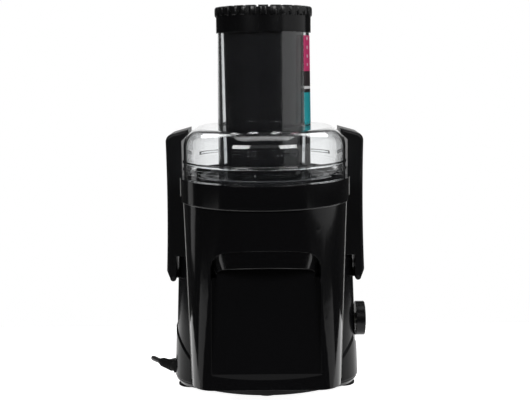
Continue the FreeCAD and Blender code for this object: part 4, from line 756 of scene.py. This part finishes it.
def make_grip_lobes():
    low, high = corners_of("pusher_grip_ring")
    outer = (high.x - low.x) / 2
    middle = high.z - LOBE_DROP - LOBE_HEIGHT / 2
    points, faces = [], []
    for lobe in range(LOBE_COUNT):
        faces += shifted(tube_faces(LOBE_COLUMNS, LOBE_ROWS), len(points))
        points += lobe_points(2 * math.pi * (lobe + 0.5) / LOBE_COUNT, outer, middle)
    lobes = add_piece("grip_lobes", points, faces, material("grip_plastic"), "pusher")


# Pale pointer on the face of the speed knob

POINTER_HALF_WIDTH = 0.0007
POINTER_START = 0.006
POINTER_END = 0.0125
POINTER_THICK = 0.0003
POINTER_COLUMNS = 9
POINTER_ROWS = 8


def make_knob_pointer():
    surface = surface_of("speed_knob")
    low, high = corners_of("speed_knob")
    middle = (low + high) / 2
    points = []
    for height in spaced(middle.z + POINTER_START, middle.z + POINTER_END, POINTER_COLUMNS):
        face = surface.ray_cast(Vector((RAY_REACH, middle.y, height)), -ACROSS)[0]
        top = min(face.x + POINTER_THICK / 2, high.x)
        for turn in ring(POINTER_ROWS):
            depth = POINTER_THICK * (1 - math.cos(turn))
            across = math.sin(turn) * POINTER_HALF_WIDTH
            points.append(Vector((top - depth, middle.y + across, height)))
    faces = tube_faces(POINTER_COLUMNS, POINTER_ROWS)
    pointer = add_piece("knob_pointer", points, faces, material("pointer_paint"), "knob")


# Ribs round the strain relief boot

BOOT_WAY = Vector((-0.6801, 0.7331, 0))
RIB_FIRST = 0.0195
RIB_LAST = 0.003
RIB_COUNT = 6
RIB_HALF = 0.0008
RIB_PROUD = 0.0009
RIB_COLUMNS = 24
RIB_ROWS = 10


def rib_points(centre, radius):
    """A hoop of rounded section about the boot."""
    across = UPWARDS.cross(BOOT_WAY)
    points = []
    for spin in ring(RIB_COLUMNS):
        out = across * math.cos(spin) + UPWARDS * math.sin(spin)
        for turn in ring(RIB_ROWS):
            reach = radius + math.cos(turn) * RIB_PROUD
            points.append(centre + out * reach + BOOT_WAY * math.sin(turn) * RIB_HALF)
    return points


def make_boot_ribs():
    surface = surface_of("strain_relief")
    points, faces = [], []
    for back in spaced(RIB_FIRST, RIB_LAST, RIB_COUNT):
        centre = Vector(LEAD_START) - BOOT_WAY * back
        top = surface.ray_cast(centre + UPWARDS * RAY_REACH, -UPWARDS)[0]
        faces += shifted(hoop_faces(RIB_COLUMNS, RIB_ROWS), len(points))
        points += rib_points(centre, top.z - centre.z)
    ribs = add_piece("boot_ribs", points, faces, material("foot_rubber"), "base")


# Grater teeth in curved rows on the grating disc

DISC_TOP = 0.1827
TOOTH_ARMS = 9
TEETH_IN_ARM = 13
TOOTH_LENGTH = 0.0026
TOOTH_WIDTH = 0.0017
TOOTH_HEIGHT = 0.0013
TOOTH_SUNK = 0.0002
TOOTH_BELLY = 0.2
TOOTH_LEAN = 0.3
TOOTH_FACES = ((0, 1, 4), (1, 2, 4), (2, 3, 4), (3, 0, 4), (3, 2, 1, 0))
ARM_START = 0.013
ARM_END = 0.047
ARM_SWEEP = 1.1


def tooth_points(radius, angle):
    """Four corners of a tooth's foot, and its tip."""
    out = Vector((math.cos(angle), math.sin(angle), 0))
    along = Vector((-math.sin(angle), math.cos(angle), 0)) * TOOTH_LENGTH
    foot = out * radius + UPWARDS * (DISC_TOP - TOOTH_SUNK)
    half = out * TOOTH_WIDTH / 2
    return [
        foot - along / 2,
        foot + half + along * TOOTH_BELLY,
        foot + along / 2,
        foot - half + along * TOOTH_BELLY,
        foot + along * TOOTH_LEAN + UPWARDS * (TOOTH_HEIGHT + TOOTH_SUNK),
    ]


def make_grater_teeth():
    points, faces = [], []
    for arm in range(TOOTH_ARMS):
        for share in spaced(0, 1, TEETH_IN_ARM):
            radius = ARM_START + (ARM_END - ARM_START) * share
            angle = 2 * math.pi * arm / TOOTH_ARMS + ARM_SWEEP * share
            faces += shifted(TOOTH_FACES, len(points))
            points += tooth_points(radius, angle)
    teeth = add_piece("grater_teeth", points, faces, material("sieve_steel"), "rotor", smooth=False)


# Floor and background

WHITE = (1, 1, 1)
TABLE_HALF_WIDTH = 0.42
TABLE_FRONT = -0.2
TABLE_BACK = 0.215
TABLE_TONE = (0.85, 0.85, 0.85)
TABLE_ROUGHNESS = 0.9
TABLE_GLOW = 0.94
BACKDROP_FADE = 0.93
BACKDROP_EDGE = 0.985
STUDIO_DARK = 0.025


def table_white():
    """A white that keeps a faint shadow, and that gloss and clear plastic show as white too."""
    made = new_material("floor")
    tree = made.node_tree
    path = add_node(tree, "LightPath", {})
    through = calculate(tree, "MAXIMUM", path["Is Camera Ray"], path["Is Transmission Ray"])
    seen = calculate(tree, "MAXIMUM", through, path["Is Glossy Ray"])
    feed_shader(tree, {
        "Base Color": opaque(TABLE_TONE),
        "Roughness": TABLE_ROUGHNESS,
        "Emission Color": opaque(WHITE),
        "Emission Strength": calculate(tree, "MULTIPLY", seen, TABLE_GLOW),
    })
    return made


def make_floor():
    half, front, back = TABLE_HALF_WIDTH, TABLE_FRONT, TABLE_BACK
    mesh = bpy.data.meshes.new("floor")
    corners = [(-half, front, 0), (half, front, 0), (half, back, 0), (-half, back, 0)]
    mesh.from_pydata(corners, [], [(0, 1, 2, 3)])
    mesh.materials.append(table_white())
    floor = bpy.data.objects.new("floor", mesh)
    scene.collection.objects.link(floor)


def backdrop_level(tree):
    """White behind the object, which fades into a dark studio."""
    place = add_node(tree, "TexCoord", {})["Generated"]
    back = add_node(tree, "SeparateXYZ", {"Vector": place})["Y"]
    span = {"Value": back, "From Min": BACKDROP_FADE, "From Max": BACKDROP_EDGE, "To Min": STUDIO_DARK}
    return add_node(tree, "MapRange", span, interpolation_type="SMOOTHSTEP")["Result"]


def make_world():
    """White for the camera and through clear plastic, and a dark studio with a white backdrop for gloss."""
    world = bpy.data.worlds.new("studio")
    scene.world = world
    world.use_nodes = True
    tree = world.node_tree
    studio = tree.nodes["Background"]
    feed(tree, studio.inputs["Color"], opaque(WHITE))
    feed(tree, studio.inputs["Strength"], backdrop_level(tree))
    white = add_node(tree, "Background", {"Color": opaque(WHITE)})["Background"]
    path = add_node(tree, "LightPath", {})
    straight = calculate(tree, "LESS_THAN", path["Glossy Depth"], 1.0)
    through = calculate(tree, "MULTIPLY", path["Is Transmission Ray"], straight)
    seen = calculate(tree, "MAXIMUM", path["Is Camera Ray"], through)
    mixed = add_node(tree, "MixShader", {"Fac": seen, 1: studio.outputs["Background"], 2: white})["Shader"]
    feed(tree, tree.nodes["World Output"].inputs["Surface"], mixed)


# Soft boxes: name, place, aim, width, height and radiance

SOFTBOXES = (
    ("left_strip", (-1.0, 0.45, 0.08), (0, -0.05, 0.08), 0.26, 0.16, 0.5),
    ("left_low", (-1.05, -0.34, -0.06), (0, -0.34, -0.06), 0.52, 0.2, 0.65),
    ("right_low", (1.05, -0.4, -0.07), (0, -0.4, -0.07), 0.7, 0.18, 0.65),
    ("right_window", (1.1, -0.22, 0.55), (0, -0.22, 0.55), 1.64, 0.9, 0.6),
    ("left_key", (-0.72, -1.1, 0.9), (0, 0, 0.25), 0.6, 0.5, 8),
    ("right_key", (0.72, -1.1, 0.9), (0, 0, 0.25), 0.6, 0.5, 8),
    ("front_top", (0, -1.35, 1.05), (0, -0.12, 0.05), 1.2, 0.5, 0.25),
    ("back_left", (-0.7, 0.8, 1.3), (0, 0, 0.2), 0.6, 0.6, 4),
    ("back_right", (0.7, 0.8, 1.3), (0, 0, 0.2), 0.6, 0.6, 4),
    ("top_box", (0, -0.1, 1.3), (0, 0, 0.2), 0.9, 0.6, 2.4),
)


def add_softbox(name, place, aim, width, height, radiance):
    data = bpy.data.lights.new(name, "AREA")
    data.shape = "RECTANGLE"
    data.size = width
    data.size_y = height
    data.energy = radiance * math.pi * width * height
    lamp = bpy.data.objects.new(name, data)
    scene.collection.objects.link(lamp)
    lamp.location = place
    way = Vector(aim) - Vector(place)
    lamp.rotation_euler = way.to_track_quat("-Z", "Y").to_euler()


def make_lights():
    for row in SOFTBOXES:
        add_softbox(*row)
    scene.view_settings.view_transform = "Standard"


make_camera()
dress_nodes()
make_cord()
make_skirt()
make_sticker()
make_beads()
make_highlight_painted_parting_beads()
make_collar_line()
make_arch_line()
make_grip_lobes()
make_knob_pointer()
make_boot_ribs()
make_grater_teeth()
make_floor()
make_world()
make_lights()
